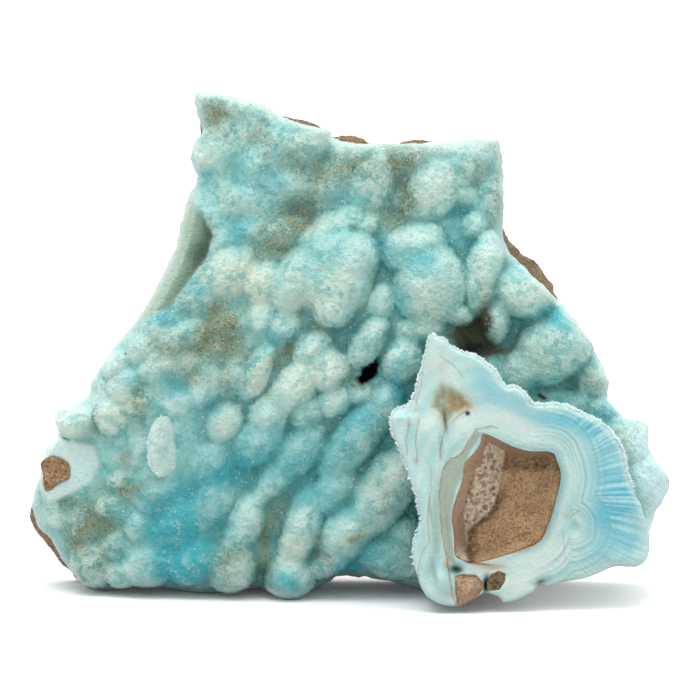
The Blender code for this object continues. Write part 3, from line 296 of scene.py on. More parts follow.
# The break: the khaki hollow under its peak, the greenish zone left of the core, and brown lines with their
# strengths and half widths
KHAKI_HOLLOW = [
    (16.4, 41.0), (18.0, 43.4), (20.4, 42.8), (22.8, 41.0), (24.0, 39.0), (22.6, 37.8), (21.2, 36.8),
    (19.8, 35.2), (19.0, 33.6), (18.2, 35.4), (17.4, 37.0), (15.6, 38.2),
]
GREEN_ZONE = [
    (25.2, 34.0), (24.0, 32.6), (22.6, 30.0), (21.0, 28.6), (19.2, 27.8), (18.2, 25.6), (17.8, 21.6),
    (18.0, 17.0), (18.6, 12.0), (19.4, 8.0), (21.0, 7.6), (20.4, 12.0), (20.2, 18.0), (21.0, 22.0),
    (22.4, 25.0), (23.0, 27.6), (24.0, 30.0), (25.4, 32.0), (26.2, 33.6),
]
BROWN_LINES = [
    (
        [
            (29.4, 34.5), (28.0, 34.8), (25.2, 34.2), (24.0, 32.6), (22.4, 29.6), (21.0, 28.6), (20.0, 28.4),
            (18.8, 26.8), (18.2, 25.4), (17.8, 21.6), (18.0, 17.8), (18.2, 14.4), (18.8, 10.8), (19.4, 7.8),
            (19.8, 5.0), (20.4, 1.2), (21.0, -0.8),
        ],
        0.8, 0.19,
    ),
    ([(14.4, 45.6), (14.2, 43.0), (13.2, 40.0), (13.0, 37.8)], 0.5, 0.16),
    ([(11.8, 36.8), (11.6, 34.8), (11.2, 32.0), (11.4, 29.0)], 0.65, 0.15),
    ([(13.8, 36.2), (13.2, 33.6), (13.1, 31.0), (13.4, 29.0), (13.2, 27.8)], 0.65, 0.15),
    ([(16.0, 27.0), (16.2, 24.0), (15.8, 20.0), (16.0, 17.6), (16.4, 14.6)], 0.5, 0.14),
    ([(15.6, 19.0), (15.4, 16.0), (15.8, 12.0), (14.8, 10.4), (14.0, 8.4), (13.6, 5.6), (13.8, 2.4)], 0.5, 0.15),
    ([(18.2, 48.6), (20.0, 47.4), (21.6, 46.0), (22.6, 44.4)], 0.35, 0.2),
    ([(18.0, 28.4), (18.0, 30.4), (18.4, 32.6), (19.0, 34.4)], 0.8, 0.17),
    ([(20.0, 35.4), (21.4, 36.8), (22.6, 37.6), (23.4, 37.8)], 0.7, 0.17),
    ([(43.8, 16.6), (44.4, 17.2), (45.8, 18.2)], 0.7, 0.14),
    ([(42.4, 14.6), (42.6, 11.0), (43.0, 8.0)], 0.3, 0.16),
    ([(19.2, 25.0), (19.0, 20.0), (19.4, 14.0), (20.0, 10.4)], 0.35, 0.14),
]

# Bands on the break, as (distance from the core, half width, strength), which also run round a second nucleus
NUCLEUS = (44.2, 15.0)
RIGHT_BANDS = [
    (0.5, 0.55, 0.45), (2.6, 0.15, 0.45), (3.2, 0.13, 0.45), (3.8, 0.13, 0.5), (4.9, 0.28, 0.85),
    (6.2, 0.2, 0.4), (7.5, 0.5, 0.7), (8.8, 0.25, 0.6),
]
LEFT_BANDS = [(3.5, 0.6, 0.3), (4.9, 0.2, 0.2), (5.8, 0.3, 0.2), (7.4, 0.4, 0.2)]

# On the break: swells (hollows below 0), stains, blue, white, tan, and holes darkened as painted shade
BREAK_SWELLS = [
    (15.4, 33.4, 4.6, 2.4, 88, 1.1), (23.4, 33.4, 3.4, 2.4, 50, 0.5), (17.0, 20.0, 8.0, 0.9, 91, 0.4),
    (18.2, 4.0, 3.2, 1.8, 70, 0.8), (14.6, 20.6, 5.0, 1.0, 100, 0.4), (16.6, 6.6, 3.6, 1.0, 84, -1.4),
    (44.9, 14.6, 2.0, 1.0, -60, -0.8), (38.2, 3.6, 1.8, 0.8, 15, -1.6), (15.9, 19.0, 4.6, 0.35, 91, -0.5),
    (18.1, 30.6, 2.6, 0.4, 92, -0.7), (21.0, 6.4, 1.2, 0.9, 0, -2.8), (27.2, 3.2, 0.6, 1.6, 0, -2.8),
    (12.4, 37.6, 1.8, 0.6, 10, -0.4), (28.4, 6.6, 2.2, 0.4, 0, -0.6), (53.0, 8.6, 6.0, 1.6, 0, 0.5),
]
BREAK_STAINS = [
    (21.4, 39.6, 2.2, 1.6, 20, 1.0), (23.2, 39.0, 1.4, 1.2, 0, 0.6), (13.2, 27.8, 0.5, 0.5, 0, 0.9),
    (11.8, 35.2, 0.4, 0.8, 0, 0.7), (19.2, 7.8, 0.6, 1.4, 0, 0.8), (34.4, 10.0, 2.4, 0.5, 22, 0.7),
    (18.0, 46.4, 1.6, 3.0, 0, 0.25), (20.0, 1.4, 2.4, 0.7, 0, 0.3), (43.0, 17.0, 0.6, 0.5, 0, 0.4),
]
BREAK_BLUES = [
    (54.6, 20.6, 3.4, 3.0, 20, 1.3), (52.0, 26.0, 4.4, 6.0, 0, 0.75), (48.0, 34.2, 6.0, 2.2, -28, 0.9),
    (50.6, 16.8, 3.0, 3.4, -30, 0.9), (55.0, 13.0, 4.0, 4.0, 0, 0.75), (27.0, 43.0, 4.4, 2.6, -50, 0.55),
    (33.0, 39.4, 5.0, 1.6, -20, 0.5), (40.0, 36.0, 5.0, 1.6, -10, 0.7), (49.0, 10.0, 4.0, 2.4, 0, 0.45),
    (17.2, 17.0, 0.9, 9.0, 0, 0.1), (12.0, 33.0, 1.4, 3.0, 0, 0.3),
]
BREAK_WHITES = [
    (22.0, 35.0, 2.2, 1.8, 40, 0.8), (28.0, 37.0, 5.0, 1.6, 0, 0.8), (35.0, 34.4, 5.4, 2.0, -20, 0.7),
    (15.6, 35.6, 2.4, 1.6, 0, 0.8), (17.6, 48.0, 2.0, 3.6, 10, 0.5), (20.4, 45.0, 2.6, 1.4, -50, 0.5),
    (42.0, 10.0, 5.4, 3.0, 10, 1.0), (34.0, 4.0, 4.0, 3.0, 0, 0.9), (45.0, 26.0, 1.0, 5.0, 0, 0.5),
    (59.0, 9.6, 1.2, 3.0, 0, 0.7), (50.6, 33.2, 2.2, 1.4, 0, 0.5), (38.0, 7.6, 3.4, 1.6, 0, 0.5),
]
BREAK_TANS = [(27.6, 6.8, 2.4, 1.4, -20, 0.9), (25.0, 7.2, 1.2, 0.7, 0, 0.9), (30.0, 7.4, 1.2, 1.0, 0, 0.5)]
BREAK_HOLES = [
    (21.2, 6.4, 1.3, 0.6, -15, 0.85), (27.1, 3.2, 0.5, 1.5, -10, 1.0), (26.0, 7.4, 2.4, 0.22, -4, 0.8),
    (18.9, 36.0, 0.4, 2.2, 8, 0.8), (23.4, 37.4, 0.42, 0.36, 0, 2.0), (38.0, 3.8, 1.0, 0.5, 30, 0.7), (16.8, 5.6, 0.5, 2.6, 10, 0.35),
]


def smoothstep(value):
    """0 below 0, 1 above 1, and 3t^2 - 2t^3 between."""
    t = np.clip(value, 0.0, 1.0)
    return t * t * (3.0 - 2.0 * t)


def stand(across, up, depth):
    """World metres of sheet points: the sheet leans, so what lies further back stands lower for the same up."""
    height = (up - GROUND_UP - math.sin(LEAN) * depth) / math.cos(LEAN)
    return np.stack([across, depth + CENTRE_BACK, np.maximum(height, 0.0)], axis=-1) * MM


def mist(points, cell, seed):
    """Noise in space from -1 to 1: random values on a cubic lattice of this cell, eased between its corners."""
    table = np.random.default_rng(seed).random((32, 32, 32))
    place = np.asarray(points) / cell
    corner = np.floor(place).astype(int)
    near = place - corner
    near = near * near * (3.0 - 2.0 * near)
    total = 0.0
    for x in (0, 1):
        for y in (0, 1):
            for z in (0, 1):
                step = (x, y, z)
                weight = np.prod(np.where(step, near, 1.0 - near), axis=-1)
                at = (corner + step) % 32
                total = total + weight * table[at[..., 0], at[..., 1], at[..., 2]]
    return 2.0 * total - 1.0


def pebbles(points, cell, seed, fill=0.85):
    """Small domes in space, 0 to 1: a jittered centre in each cell, and the highest 1 - (distance / radius)^2."""
    rng = np.random.default_rng(seed)
    jitter = rng.random((32, 32, 32, 3))
    radius = fill * (0.55 + 0.45 * rng.random((32, 32, 32)))
    place = np.asarray(points) / cell
    corner = np.floor(place).astype(int)
    highest = np.zeros(place.shape[:-1])
    for x in (-1, 0, 1):
        for y in (-1, 0, 1):
            for z in (-1, 0, 1):
                box = corner + (x, y, z)
                at = box % 32
                centre = box + jitter[at[..., 0], at[..., 1], at[..., 2]]
                reach = radius[at[..., 0], at[..., 1], at[..., 2]]
                away = ((place - centre) ** 2).sum(-1) / reach**2
                highest = np.maximum(highest, 1.0 - away)
    return highest


def flat_noise(across, up, cell, seed):
    return mist(np.stack([across, up, np.full(np.shape(across), 0.37 * cell)], axis=-1), cell, seed)


def distance_to(outline, across, up):
    """How far each point is from the nearest side of an outline, worked out some thousand points at a time."""
    start = np.asarray(outline)
    side = np.roll(start, -1, axis=0) - start
    points = np.stack([np.ravel(across), np.ravel(up)], axis=-1)
    found = []
    for part in np.array_split(points, max(1, len(points) // 4000)):
        from_start = part[:, None, :] - start
        along = np.clip((from_start * side).sum(-1) / (side**2).sum(-1), 0.0, 1.0)
        gap = from_start - along[..., None] * side
        found.append(np.sqrt((gap**2).sum(-1).min(axis=1)))
    return np.concatenate(found).reshape(np.shape(across))


def open_distance(line, across, up):
    """How far each point is from the nearest part of an open line."""
    points = np.stack([across, up], axis=-1)
    nearest = np.full(np.shape(across), 1e9)
    for start, end in zip(line[:-1], line[1:]):
        side = np.subtract(end, start)
        from_start = points - start
        along = np.clip((from_start * side).sum(-1) / (side**2).sum(), 0.0, 1.0)
        gap = from_start - along[..., None] * side
        nearest = np.minimum(nearest, np.sqrt((gap**2).sum(-1)))
    return nearest


def inside(outline, across, up):
    """True inside the outline: a ray to the right crosses its sides an odd number of times."""
    start = np.asarray(outline)
    end = np.roll(start, -1, axis=0)
    crossings = np.zeros(np.shape(across), int)
    for (x0, y0), (x1, y1) in zip(start, end):
        if y0 == y1:
            continue
        between = (up < y0) != (up < y1)
        crossings += between & (across < x0 + (up - y0) * (x1 - x0) / (y1 - y0))
    return crossings % 2 == 1


def depth_inside(outline, across, up):
    """Distance to the outline, above 0 inside it and below 0 outside."""
    return distance_to(outline, across, up) * np.where(inside(outline, across, up), 1.0, -1.0)


def rounded_loop(outline, count):
    """A Catmull-Rom curve through the outline's points, cut into equal steps."""
    p1 = np.asarray(outline)
    p0, p2, p3 = (np.roll(p1, shift, axis=0) for shift in (1, -1, -2))
    t = np.linspace(0.0, 1.0, 12, endpoint=False)[:, None, None]
    curve = 0.5 * (
        2.0 * p1 + (p2 - p0) * t + (2.0 * p0 - 5.0 * p1 + 4.0 * p2 - p3) * t**2
        + (3.0 * p1 - p0 - 3.0 * p2 + p3) * t**3
    )
    return even_steps(curve.transpose(1, 0, 2).reshape(-1, 2), count, closed=True)


def even_steps(points, count, closed=False):
    """The same line with its points at equal steps along it."""
    line = np.vstack([points, points[:1]]) if closed else np.asarray(points)
    travelled = np.concatenate([[0.0], np.cumsum(np.linalg.norm(np.diff(line, axis=0), axis=1))])
    wanted = np.linspace(0.0, travelled[-1], count, endpoint=not closed)
    return np.stack([np.interp(wanted, travelled, line[:, axis]) for axis in (0, 1)], axis=-1)


def polar_radius(outline, middle, angles):
    """How far an outline is from the middle in each direction."""
    loop = rounded_loop(outline, 1600) - middle
    angle = np.arctan2(loop[:, 1], loop[:, 0])
    order = np.argsort(angle)
    return np.interp(angles, angle[order], np.linalg.norm(loop, axis=1)[order], period=2.0 * math.pi)


def patches(across, up, spots):
    """The sum of soft ellipses: strength * exp(-q^2), q being 1 on each ellipse."""
    total = np.zeros(np.shape(across))
    for middle, height, long, wide, turn, strength in spots:
        c, s = math.cos(math.radians(turn)), math.sin(math.radians(turn))
        along = (across - middle) * c + (up - height) * s
        over = (up - height) * c - (across - middle) * s
        total += strength * np.exp(-((along / long) ** 2) - (over / wide) ** 2)
    return total


def crust_front(across, up):
    """Depth of the crust behind its lumps, which falls back at the top and at both ends."""
    depth = FRONT_MIDDLE + FRONT_TOP_BACK * smoothstep((up - 40.0) / 60.0)
    depth = depth + FRONT_LEFT_BACK * smoothstep((-across - 35.0) / 28.0)
    depth = depth + FRONT_RIGHT_BACK * smoothstep((across - 30.0) / 30.0)
    depth = depth - SKIRT_FORWARD * smoothstep((across - 42.0) / 8.0) * smoothstep((42.0 - up) / 8.0)
    for dip_across, dip_up, radius, deep in DIPS:
        depth = depth + deep * np.exp(-((across - dip_across) ** 2 + (up - dip_up) ** 2) / radius**2)
    return depth


def rock_front(across, up):
    return ROCK_FACE_FOOT + ROCK_FACE_SLOPE * up + 0.0 * across


def break_face(across, up):
    """The broken face: a ridge near its left side, from which it falls back both ways."""
    left = 0.75 * np.maximum(BREAK_RIDGE - across, 0.0)
    right = 0.16 * np.maximum(across - BREAK_RIDGE, 0.0)
    top = 0.06 * np.maximum(up - 20.0, 0.0)
    return BREAK_DEPTH + left + right + top


def core_crease(up):
    """Across of the crease in which the core's pale left wall meets its sandy floor."""
    return np.interp(up, [7.0, 11.0, 14.6, 16.0, 18.0, 21.0, 24.0, 33.0], [23.6, 23.2, 24.0, 26.0, 28.2, 29.4, 30.0, 31.5])


def core_recess(across, up):
    """The core is set back, deepest along the crease, from which the floor rises to the right."""
    crease = core_crease(up)
    left_wall = smoothstep((across - (crease - 7.0)) / 7.0)
    right_floor = smoothstep((across - crease) / 13.0)
    rim = 1.0 - smoothstep(distance_to(CORE_OUTLINE, across, up) / 2.0)
    return (0.5 + 3.4 * left_wall - 2.2 * right_floor) * (1.0 - 0.75 * rim)


def tip_face(across):
    return TIP_DEPTH - 0.10 * (across + 56.0)


def shard_face(across, up):
    """The pale shard stands proud at its left edge and sinks into the crust at its right."""
    return crust_front(across, up) - 2.7 + 0.7 * np.maximum(across + 38.6, 0.0)


def crust_depth(across, up, from_rim):
    """Depth of the lumpy front.

    Each lump is an ellipsoid, centre depth - thickness * sqrt(1 - q^2), that leans out at its lower edge. The
    surfaces are joined by a soft minimum, -b * log(sum of exp(-depth / b)), and the rim is taken back.
    """
    width = 6.0 - 3.2 * smoothstep((up - 78.0) / 8.0)
    inward = 1.0 - np.clip(from_rim / width, 0.0, 1.0)
    front = crust_front(across, up)
    drop = np.clip((rock_front(across, up) - 4.6 - front) / 9.8, 0.2, 1.0)
    base = front + 8.0 * drop * (1.0 - np.sqrt(1.0 - inward**2))
    total = np.ones(np.shape(across))
    for middle, height, long, wide, turn, rise in LUMPS:
        thick = max(wide * LUMP_ROUNDNESS, rise + 1.5)
        c, s = math.cos(math.radians(turn)), math.sin(math.radians(turn))
        along = ((across - middle) * c + (up - height) * s) / long
        over = ((up - height) * c - (across - middle) * s) / wide
        q2 = along**2 + over**2
        foot = float(crust_front(np.array(middle), np.array(height))) - rise + thick
        tall = math.hypot(long * s, wide * c)
        lean = LUMP_LEAN * rise * np.clip((up - height) / tall, -1.0, 1.0)
        surface = foot - thick * np.sqrt(np.clip(1.0 - q2, 0.0, 1.0)) + lean
        total += np.where(q2 < 1.0, np.exp(np.clip((base - surface) / LUMP_BLEND, -40.0, 40.0)), 0.0)
    depth = base - LUMP_BLEND * np.log(total)
    rim = 1.0 - np.clip(from_rim / 2.0, 0.0, 1.0)
    return depth + 1.8 * drop * (1.0 - np.sqrt(1.0 - rim**2))


def blurred(field, cells):
    """A box blur of a grid, along each axis in turn, with its edge values held."""
    for axis in (0, 1):
        padding = [(cells, cells) if a == axis else (0, 0) for a in (0, 1)]
        sums = np.cumsum(np.pad(field, padding, mode="edge"), axis=axis)
        zero = np.zeros_like(np.take(sums, [0], axis=axis))
        sums = np.concatenate([zero, sums], axis=axis)
        count = field.shape[axis]
        high = np.take(sums, range(2 * cells + 1, 2 * cells + 1 + count), axis=axis)
        low = np.take(sums, range(count), axis=axis)
        field = (high - low) / (2 * cells + 1)
    return field


def grid_normals(points, wrap=False):
    """Unit normals of a grid of points: the cross product of its two directions, columns first."""
    if wrap:
        along = np.roll(points, -1, axis=1) - np.roll(points, 1, axis=1)
    else:
        along = np.gradient(points, axis=1)
    over = np.gradient(points, axis=0)
    normal = np.cross(along, over)
    return normal / np.maximum(np.linalg.norm(normal, axis=-1, keepdims=True), 1e-12)


def grid_faces(rows, columns, first=0, wrap=False):
    """Quads between rows of points, from each row to the next and along it, ring by ring where it wraps."""
    row = np.arange(rows - 1)[:, None] * columns
    column = np.arange(columns if wrap else columns - 1)[None, :]
    beside = (column + 1) % columns
    return first + np.stack(
        [row + column, row + columns + column, row + columns + beside, row + beside], axis=-1
    ).reshape(-1, 4)


def surface(name, points, quads, triangles, masks, finishes, slot, replaced=(), finish_of_quads=None):
    """Makes a mesh piece from whole arrays, with its masks as point attributes."""
    quads = np.asarray(quads, np.int32).reshape(-1, 4)
    triangles = np.asarray(triangles, np.int32).reshape(-1, 3)
    mesh = bpy.data.meshes.new(name)
    mesh.vertices.add(len(points))
    mesh.vertices.foreach_set("co", np.asarray(points, np.float32).ravel())
    corners = np.concatenate([quads.ravel(), triangles.ravel()])
    starts = np.concatenate([np.arange(len(quads)) * 4, 4 * len(quads) + np.arange(len(triangles)) * 3])
    mesh.loops.add(len(corners))
    mesh.loops.foreach_set("vertex_index", corners)
    mesh.polygons.add(len(starts))
    mesh.polygons.foreach_set("loop_start", starts.astype(np.int32))
    if finish_of_quads is not None:
        chosen = np.zeros(len(starts), np.int32)
        chosen[: len(quads)] = finish_of_quads
        mesh.polygons.foreach_set("material_index", chosen)
    mesh.update(calc_edges=True)
    mesh.validate()
    mesh.shade_smooth()
    for mask, values in masks.items():
        attribute = mesh.attributes.new(mask, "FLOAT", "POINT")
        attribute.data.foreach_set("value", np.asarray(values, np.float32).ravel())
    for finish in finishes:
        mesh.materials.append(finish)
    piece = bpy.data.objects.new(name, mesh)
    bpy.context.scene.collection.objects.link(piece)
    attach(piece, BODY)
    if replaced:
        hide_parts(*replaced)
    return piece


def wall_balls(outline, front, last):
    """The balls of crust that the solids have along their walls, as (across, up, depth, radius)."""
    corners = np.array(outline)
    sides = np.roll(corners, -1, axis=0) - corners
    lengths = np.linalg.norm(sides, axis=1)
    ends = np.cumsum(lengths)
    balls = []
    for count, place in enumerate(np.arange(WALL_PITCH / 2.0, ends[-1], WALL_PITCH)):
        side = int(np.searchsorted(ends, place))
        point = corners[side] + sides[side] * (place - ends[side] + lengths[side]) / lengths[side]
        if point[1] < WALL_FOOT:
            continue
        radius = WALL_BALL * (0.8 + 0.5 * ((count * 0.414) % 1.0))
        first = float(front(point[:1], point[1:])[0]) + WALL_BALL_BEHIND_FRONT
        depth = first + (last - first) * ((count * 0.618) % 1.0)
        inward = np.array((sides[side][1], -sides[side][0])) / lengths[side]
        centre = point + inward * radius
        if distance_to(outline, centre[:1], centre[1:])[0] < WALL_BALL_CLEAR * radius:
            continue
        balls.append((*centre, depth, radius))
    return balls


def wall_reach(foot, outward, depth, step, balls):
    """How far a wall stands out at each depth: stepped in, and filled out again where a ball crosses it."""
    total = np.exp(step / 0.3)
    for across, up, ball_depth, radius in balls:
        away = np.array((across, up)) - foot
        out = (away * outward).sum(-1)
        over = (away**2).sum(-1) - out**2
        left = radius**2 - over - (depth - ball_depth) ** 2
        reach = out + np.sqrt(np.clip(left, 0.0, None))
        total = total + np.where(left > 0.0, np.exp(np.clip(reach, -6.0, 3.0) / 0.3), 0.0)
    return 0.3 * np.log(total)


def crust_sheet(columns, rows):
    """Sheet points of the crust's front: a Coons patch between the four stretches of its outline."""
    loop = rounded_loop(CRUST_OUTLINE, 2400)
    normal = np.roll(loop, -1, axis=0) - np.roll(loop, 1, axis=0)
    normal = np.stack([-normal[:, 1], normal[:, 0]], axis=-1)
    normal /= np.linalg.norm(normal, axis=1, keepdims=True)
    ripple = 0.30 * flat_noise(*loop.T, 1.6, 11) + 0.16 * flat_noise(*loop.T, 0.6, 12)
    loop = loop + normal * ripple[:, None]
    at = [int(np.argmin(((loop - corner) ** 2).sum(1))) for corner in CRUST_CORNERS]

    def stretch(start, end, count):
        stop = end if end > start else end + len(loop)
        return even_steps(loop[np.arange(start, stop + 1) % len(loop)], count)

    top = stretch(at[0], at[1], columns)
    right = stretch(at[1], at[2], rows)[::-1]
    bottom = stretch(at[2], at[3], columns)[::-1]
    left = stretch(at[3], at[0], rows)
    u = np.linspace(0.0, 1.0, columns)[None, :, None]
    v = np.linspace(0.0, 1.0, rows)[:, None, None]
    between = (1 - v) * bottom[None] + v * top[None] + (1 - u) * left[:, None] + u * right[:, None]
    corners = (1 - u) * (1 - v) * bottom[0] + u * (1 - v) * bottom[-1]
    corners = corners + (1 - u) * v * top[0] + u * v * top[-1]
    sheet = between - corners
    for _ in range(80):
        beside = sheet[1:-1, :-2] + sheet[1:-1, 2:]
        sheet[1:-1, 1:-1] = (beside + sheet[:-2, 1:-1] + sheet[2:, 1:-1]) / 4.0
    return sheet


def border_of(grid):
    """The rim of a grid as one loop, anticlockwise as seen from the front."""
    return np.concatenate([grid[0], grid[1:, -1], grid[-1, -2::-1], grid[-2:0:-1, 0]])


def crust_masks(across, up, rise, steep):
    """Where the crust is a crown, painted shade in its hollows and on steep sides, blue, stained, cream or painted
    highlight, cave dirt and shade, black flecks or painted hole shade, each from 0 to 1.
    """
    wander = 1.3 * flat_noise(across, up, 4.0, 21) + 0.7 * flat_noise(across, up, 1.6, 22)
    shifted = (across + wander, up + 1.3 * flat_noise(across, up, 3.4, 23))
    # Painted shade: the hole is painted near black.
    hole = smoothstep(depth_inside(HOLE_OUTLINE, across, up) / 0.7)
    from_rim = distance_to(CRUST_OUTLINE, across, up)
    inner = smoothstep(from_rim / 4.0)
    return {
        "crown": smoothstep(0.5 + rise / 2.4),
        # Painted shade: darker in the hollows between lumps and on steep sides.
        "hollow_shade": inner * np.clip(smoothstep((-rise - 0.15) / 1.5) * 0.8 + 0.5 * steep**2, 0.0, 1.0),
        "blue": np.clip(patches(*shifted, BLUE_PATCHES), 0.0, 1.0),
        "stain": np.clip(patches(*shifted, STAIN_PATCHES), 0.0, 1.0),
        "cream_and_highlight": np.clip(patches(*shifted, CREAM_AND_HIGHLIGHT_PATCHES), 0.0, 1.0),
        # Cave: darker for dirt and as painted shade.
        "cave_dirt_and_shade": np.clip(patches(*shifted, CAVE_DIRT_AND_SHADE_PATCHES), 0.0, 1.0),
        "frost": np.clip(patches(*shifted, FROST_PATCHES), 0.0, 1.0),
        "strip": smoothstep((depth_inside(LEFT_STRIP, across, up) + 0.5) / 1.6),
        # Painted shade: darker going in from the rim, used across the left strip.
        "shade": smoothstep((from_rim - 1.5) / 5.0),
        # Painted highlight: the rim is lightened along its edge.
        "edge": 1.0 - smoothstep(from_rim / 1.4),
        # Black flecks, and painted shade in the hole and the cave.
        "black_flecks_and_hole_shade": np.clip(hole + patches(across, up, BLACK_FLECKS_AND_CAVE_SHADE), 0.0, 1.0),
    }


def make_crust(finish):
    """The crust: a lumpy front over a Coons patch, its walls, and a back that rounds in to the host rock.

    Front points are moved along their normals by small domes and noise, and the wall by the solids' balls.
    """
    columns, rows, wall_rows = ((280, 244, 24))
    sheet = crust_sheet(columns, rows)
    across, up = sheet[..., 0], sheet[..., 1]
    outline = rounded_loop(CRUST_OUTLINE, 260)
    from_rim = np.maximum(depth_inside(outline, across, up), 0.0)
    depth = crust_depth(across, up, from_rim)
    cells = 10
    valley = np.minimum(blurred(depth, cells) - depth, 0.0)
    depth = depth + VALLEY_FILL * valley * smoothstep(from_rim / 3.0)
    facet = smoothstep((depth_inside(TIP_FACET, across, up) + 0.3) / 1.0)
    depth = depth + (tip_face(across) - depth) * facet
    depth = depth + 0.7 * smoothstep((depth_inside(TIP_OUTLINE, across, up) + 0.2) / 0.4)
    strip = smoothstep((depth_inside(LEFT_STRIP, across, up) + 0.1) / 0.7)
    smooth = crust_front(across, up) + 0.4 + 0.30 * from_rim
    depth = depth + (np.maximum(smooth, depth - 0.5) - depth) * strip
    hole = smoothstep((depth_inside(HOLE_OUTLINE, across, up) - 0.1) / 0.8)
    depth = depth + 9.0 * hole
    rise = blurred(depth, cells) - depth
    points = stand(across, up, depth)
    normals = grid_normals(points)
    space = points / MM
    plain = np.maximum(facet, strip)
    grain = (1.0 - 0.85 * plain) * (1.0 - hole) * smoothstep(from_rim / 1.5)
    lumpy = 0.26 * pebbles(space, 3.6, 31) + 0.15 * pebbles(space, 1.8, 32) + 0.14 * mist(space, 1.0, 33)
    lumpy = lumpy + 0.50 * mist(space, 4.8, 34) + 0.15 * pebbles(space, 0.8, 35) + 0.15 * mist(space, 0.5, 36)
    turned = smoothstep(from_rim / 4.0)[..., None]
    ahead = normals * turned + np.array([0.0, -1.0, 0.0]) * (1.0 - turned)
    points = points + ahead * ((lumpy - 0.2) * grain)[..., None] * MM
    steep = 1.0 - np.abs(normals[..., 1])
    masks = crust_masks(across, up, rise + 0.4 * lumpy - 0.2, steep)
    masks["break"] = facet

    rim = border_of(sheet)
    rim_depth = border_of(depth)
    tangent = np.roll(rim, -1, axis=0) - np.roll(rim, 1, axis=0)
    outward = np.stack([tangent[:, 1], -tangent[:, 0]], axis=-1)
    outward /= np.linalg.norm(outward, axis=1, keepdims=True)
    for _ in range(6):
        outward = (np.roll(outward, 3, axis=0) + 2.0 * outward + np.roll(outward, -3, axis=0)) / 4.0
    outward /= np.linalg.norm(outward, axis=1, keepdims=True)
    lifted = smoothstep((rim[:, 1] - WALL_FOOT) / 8.0)
    last = rock_front(*rim.T) - 3.5 * lifted
    t = np.linspace(0.0, 1.0, wall_rows + 1)[1:, None]
    wall_depth = rim_depth + (last - rim_depth) * t
    behind = smoothstep((wall_depth - rim_depth - 2.0) / 4.0)
    step = -WALL_STEP * behind * smoothstep((rim[:, 1] - WALL_FOOT) / 3.0)
    balls = wall_balls(CRUST_OUTLINE, crust_front, SLAB_WALL_LAST)
    reach = np.minimum(wall_reach(rim, outward, wall_depth, step, balls), -0.1)
    wall = rim + outward * reach[..., None]
    rounding = np.array([0.35, 0.7, 1.0])[:, None]
    inward = rim - outward * (WALL_STEP + 3.4 * rounding)[..., None]
    back_depth = last + (rock_front(*rim.T) + 0.6 - last) * np.sqrt(1.0 - (1.0 - rounding) ** 2)
    loops = np.concatenate([wall, inward])
    loop_depth = np.concatenate([wall_depth, back_depth])
    ring = stand(loops[..., 0], loops[..., 1], loop_depth)
    ring_space = ring / MM
    sideways = np.stack([outward[:, 0], np.zeros(len(outward)), outward[:, 1]], axis=-1)
    domes = 0.7 * pebbles(ring_space, 3.0, 41) + 0.3 * mist(ring_space, 1.2, 42)
    fade = smoothstep(np.linspace(0.0, 4.0, len(ring)))[:, None] * (ring[..., 2] > 0.3 * MM)
    ring = ring - sideways * ((0.9 - domes) * fade)[..., None] * MM
    ring[..., 2] = np.maximum(ring[..., 2], 0.0)
    pole = stand(np.array([SLAB_MIDDLE[0]]), np.array([SLAB_MIDDLE[1]]), np.array([13.0]))

    count = columns * rows
    border = border_of(np.arange(count).reshape(rows, columns))
    first_ring = np.concatenate([border, count + np.arange(len(border))])
    quads = [grid_faces(rows, columns)[:, ::-1]]
    quads.append(first_ring[grid_faces(2, len(border), wrap=True)])
    quads.append(grid_faces(len(ring), len(border), first=count, wrap=True))
    last_ring = count + (len(ring) - 1) * len(border) + np.arange(len(border))
    centre = count + ring.shape[0] * ring.shape[1]
    fan = np.stack([np.roll(last_ring, -1), last_ring, np.full(len(border), centre)], axis=-1)
    everything = np.concatenate([points.reshape(-1, 3), ring.reshape(-1, 3), pole])
    ring_rise = domes - 0.3
    ring_masks = crust_masks(loops[..., 0], loops[..., 1], ring_rise, np.full(ring_rise.shape, 0.3))
    for name in ("break", "black_flecks_and_hole_shade", "cave_dirt_and_shade", "edge", "strip"):
        ring_masks[name] = np.zeros(ring_rise.shape)
    joined = {
        name: np.concatenate([masks[name].ravel(), ring_masks[name].ravel(), [0.0]]) for name in masks
    }
    surface("crust", everything, np.concatenate(quads), fan, joined, [finish], "aragonite", ["aragonite"])
    shown = grain * (1.0 - masks["black_flecks_and_hole_shade"]) * (1.0 - masks["blue"]) * smoothstep((masks["crown"] - 0.5) / 0.4)
    return points, grid_normals(points), shown, across, up


def round_rows(middle, radii, angles):
    """Sheet points of rings about a middle: one row for each array of radii."""
    radii = np.asarray(radii)
    return middle[0] + radii * np.cos(angles), middle[1] + radii * np.sin(angles)


def closed_round(name, rings, first_pole, last_pole, masks, finishes, slot, replaced=(), finish_rows=None):
    """A closed piece of rings, anticlockwise from the front, with a pole at each end."""
    rows, columns = rings.shape[:2]
    quads = grid_faces(rows, columns, first=1, wrap=True)
    around = np.arange(columns)
    beside = (around + 1) % columns
    start = np.stack([np.zeros(columns, int), 1 + around, 1 + beside], axis=-1)
    end_row = 1 + (rows - 1) * columns
    end = np.stack([np.full(columns, 1 + rows * columns), end_row + beside, end_row + around], axis=-1)
    points = np.concatenate([first_pole.reshape(1, 3), rings.reshape(-1, 3), last_pole.reshape(1, 3)])
    padded = {
        mask: np.concatenate([[np.mean(values[0])], values.ravel(), [np.mean(values[-1])]])
        for mask, values in masks.items()
    }
    chosen = None if finish_rows is None else np.repeat(finish_rows[: rows - 1], columns)
    return surface(
        name, points, quads, np.concatenate([start, end]), padded, finishes, slot, replaced, chosen
    )


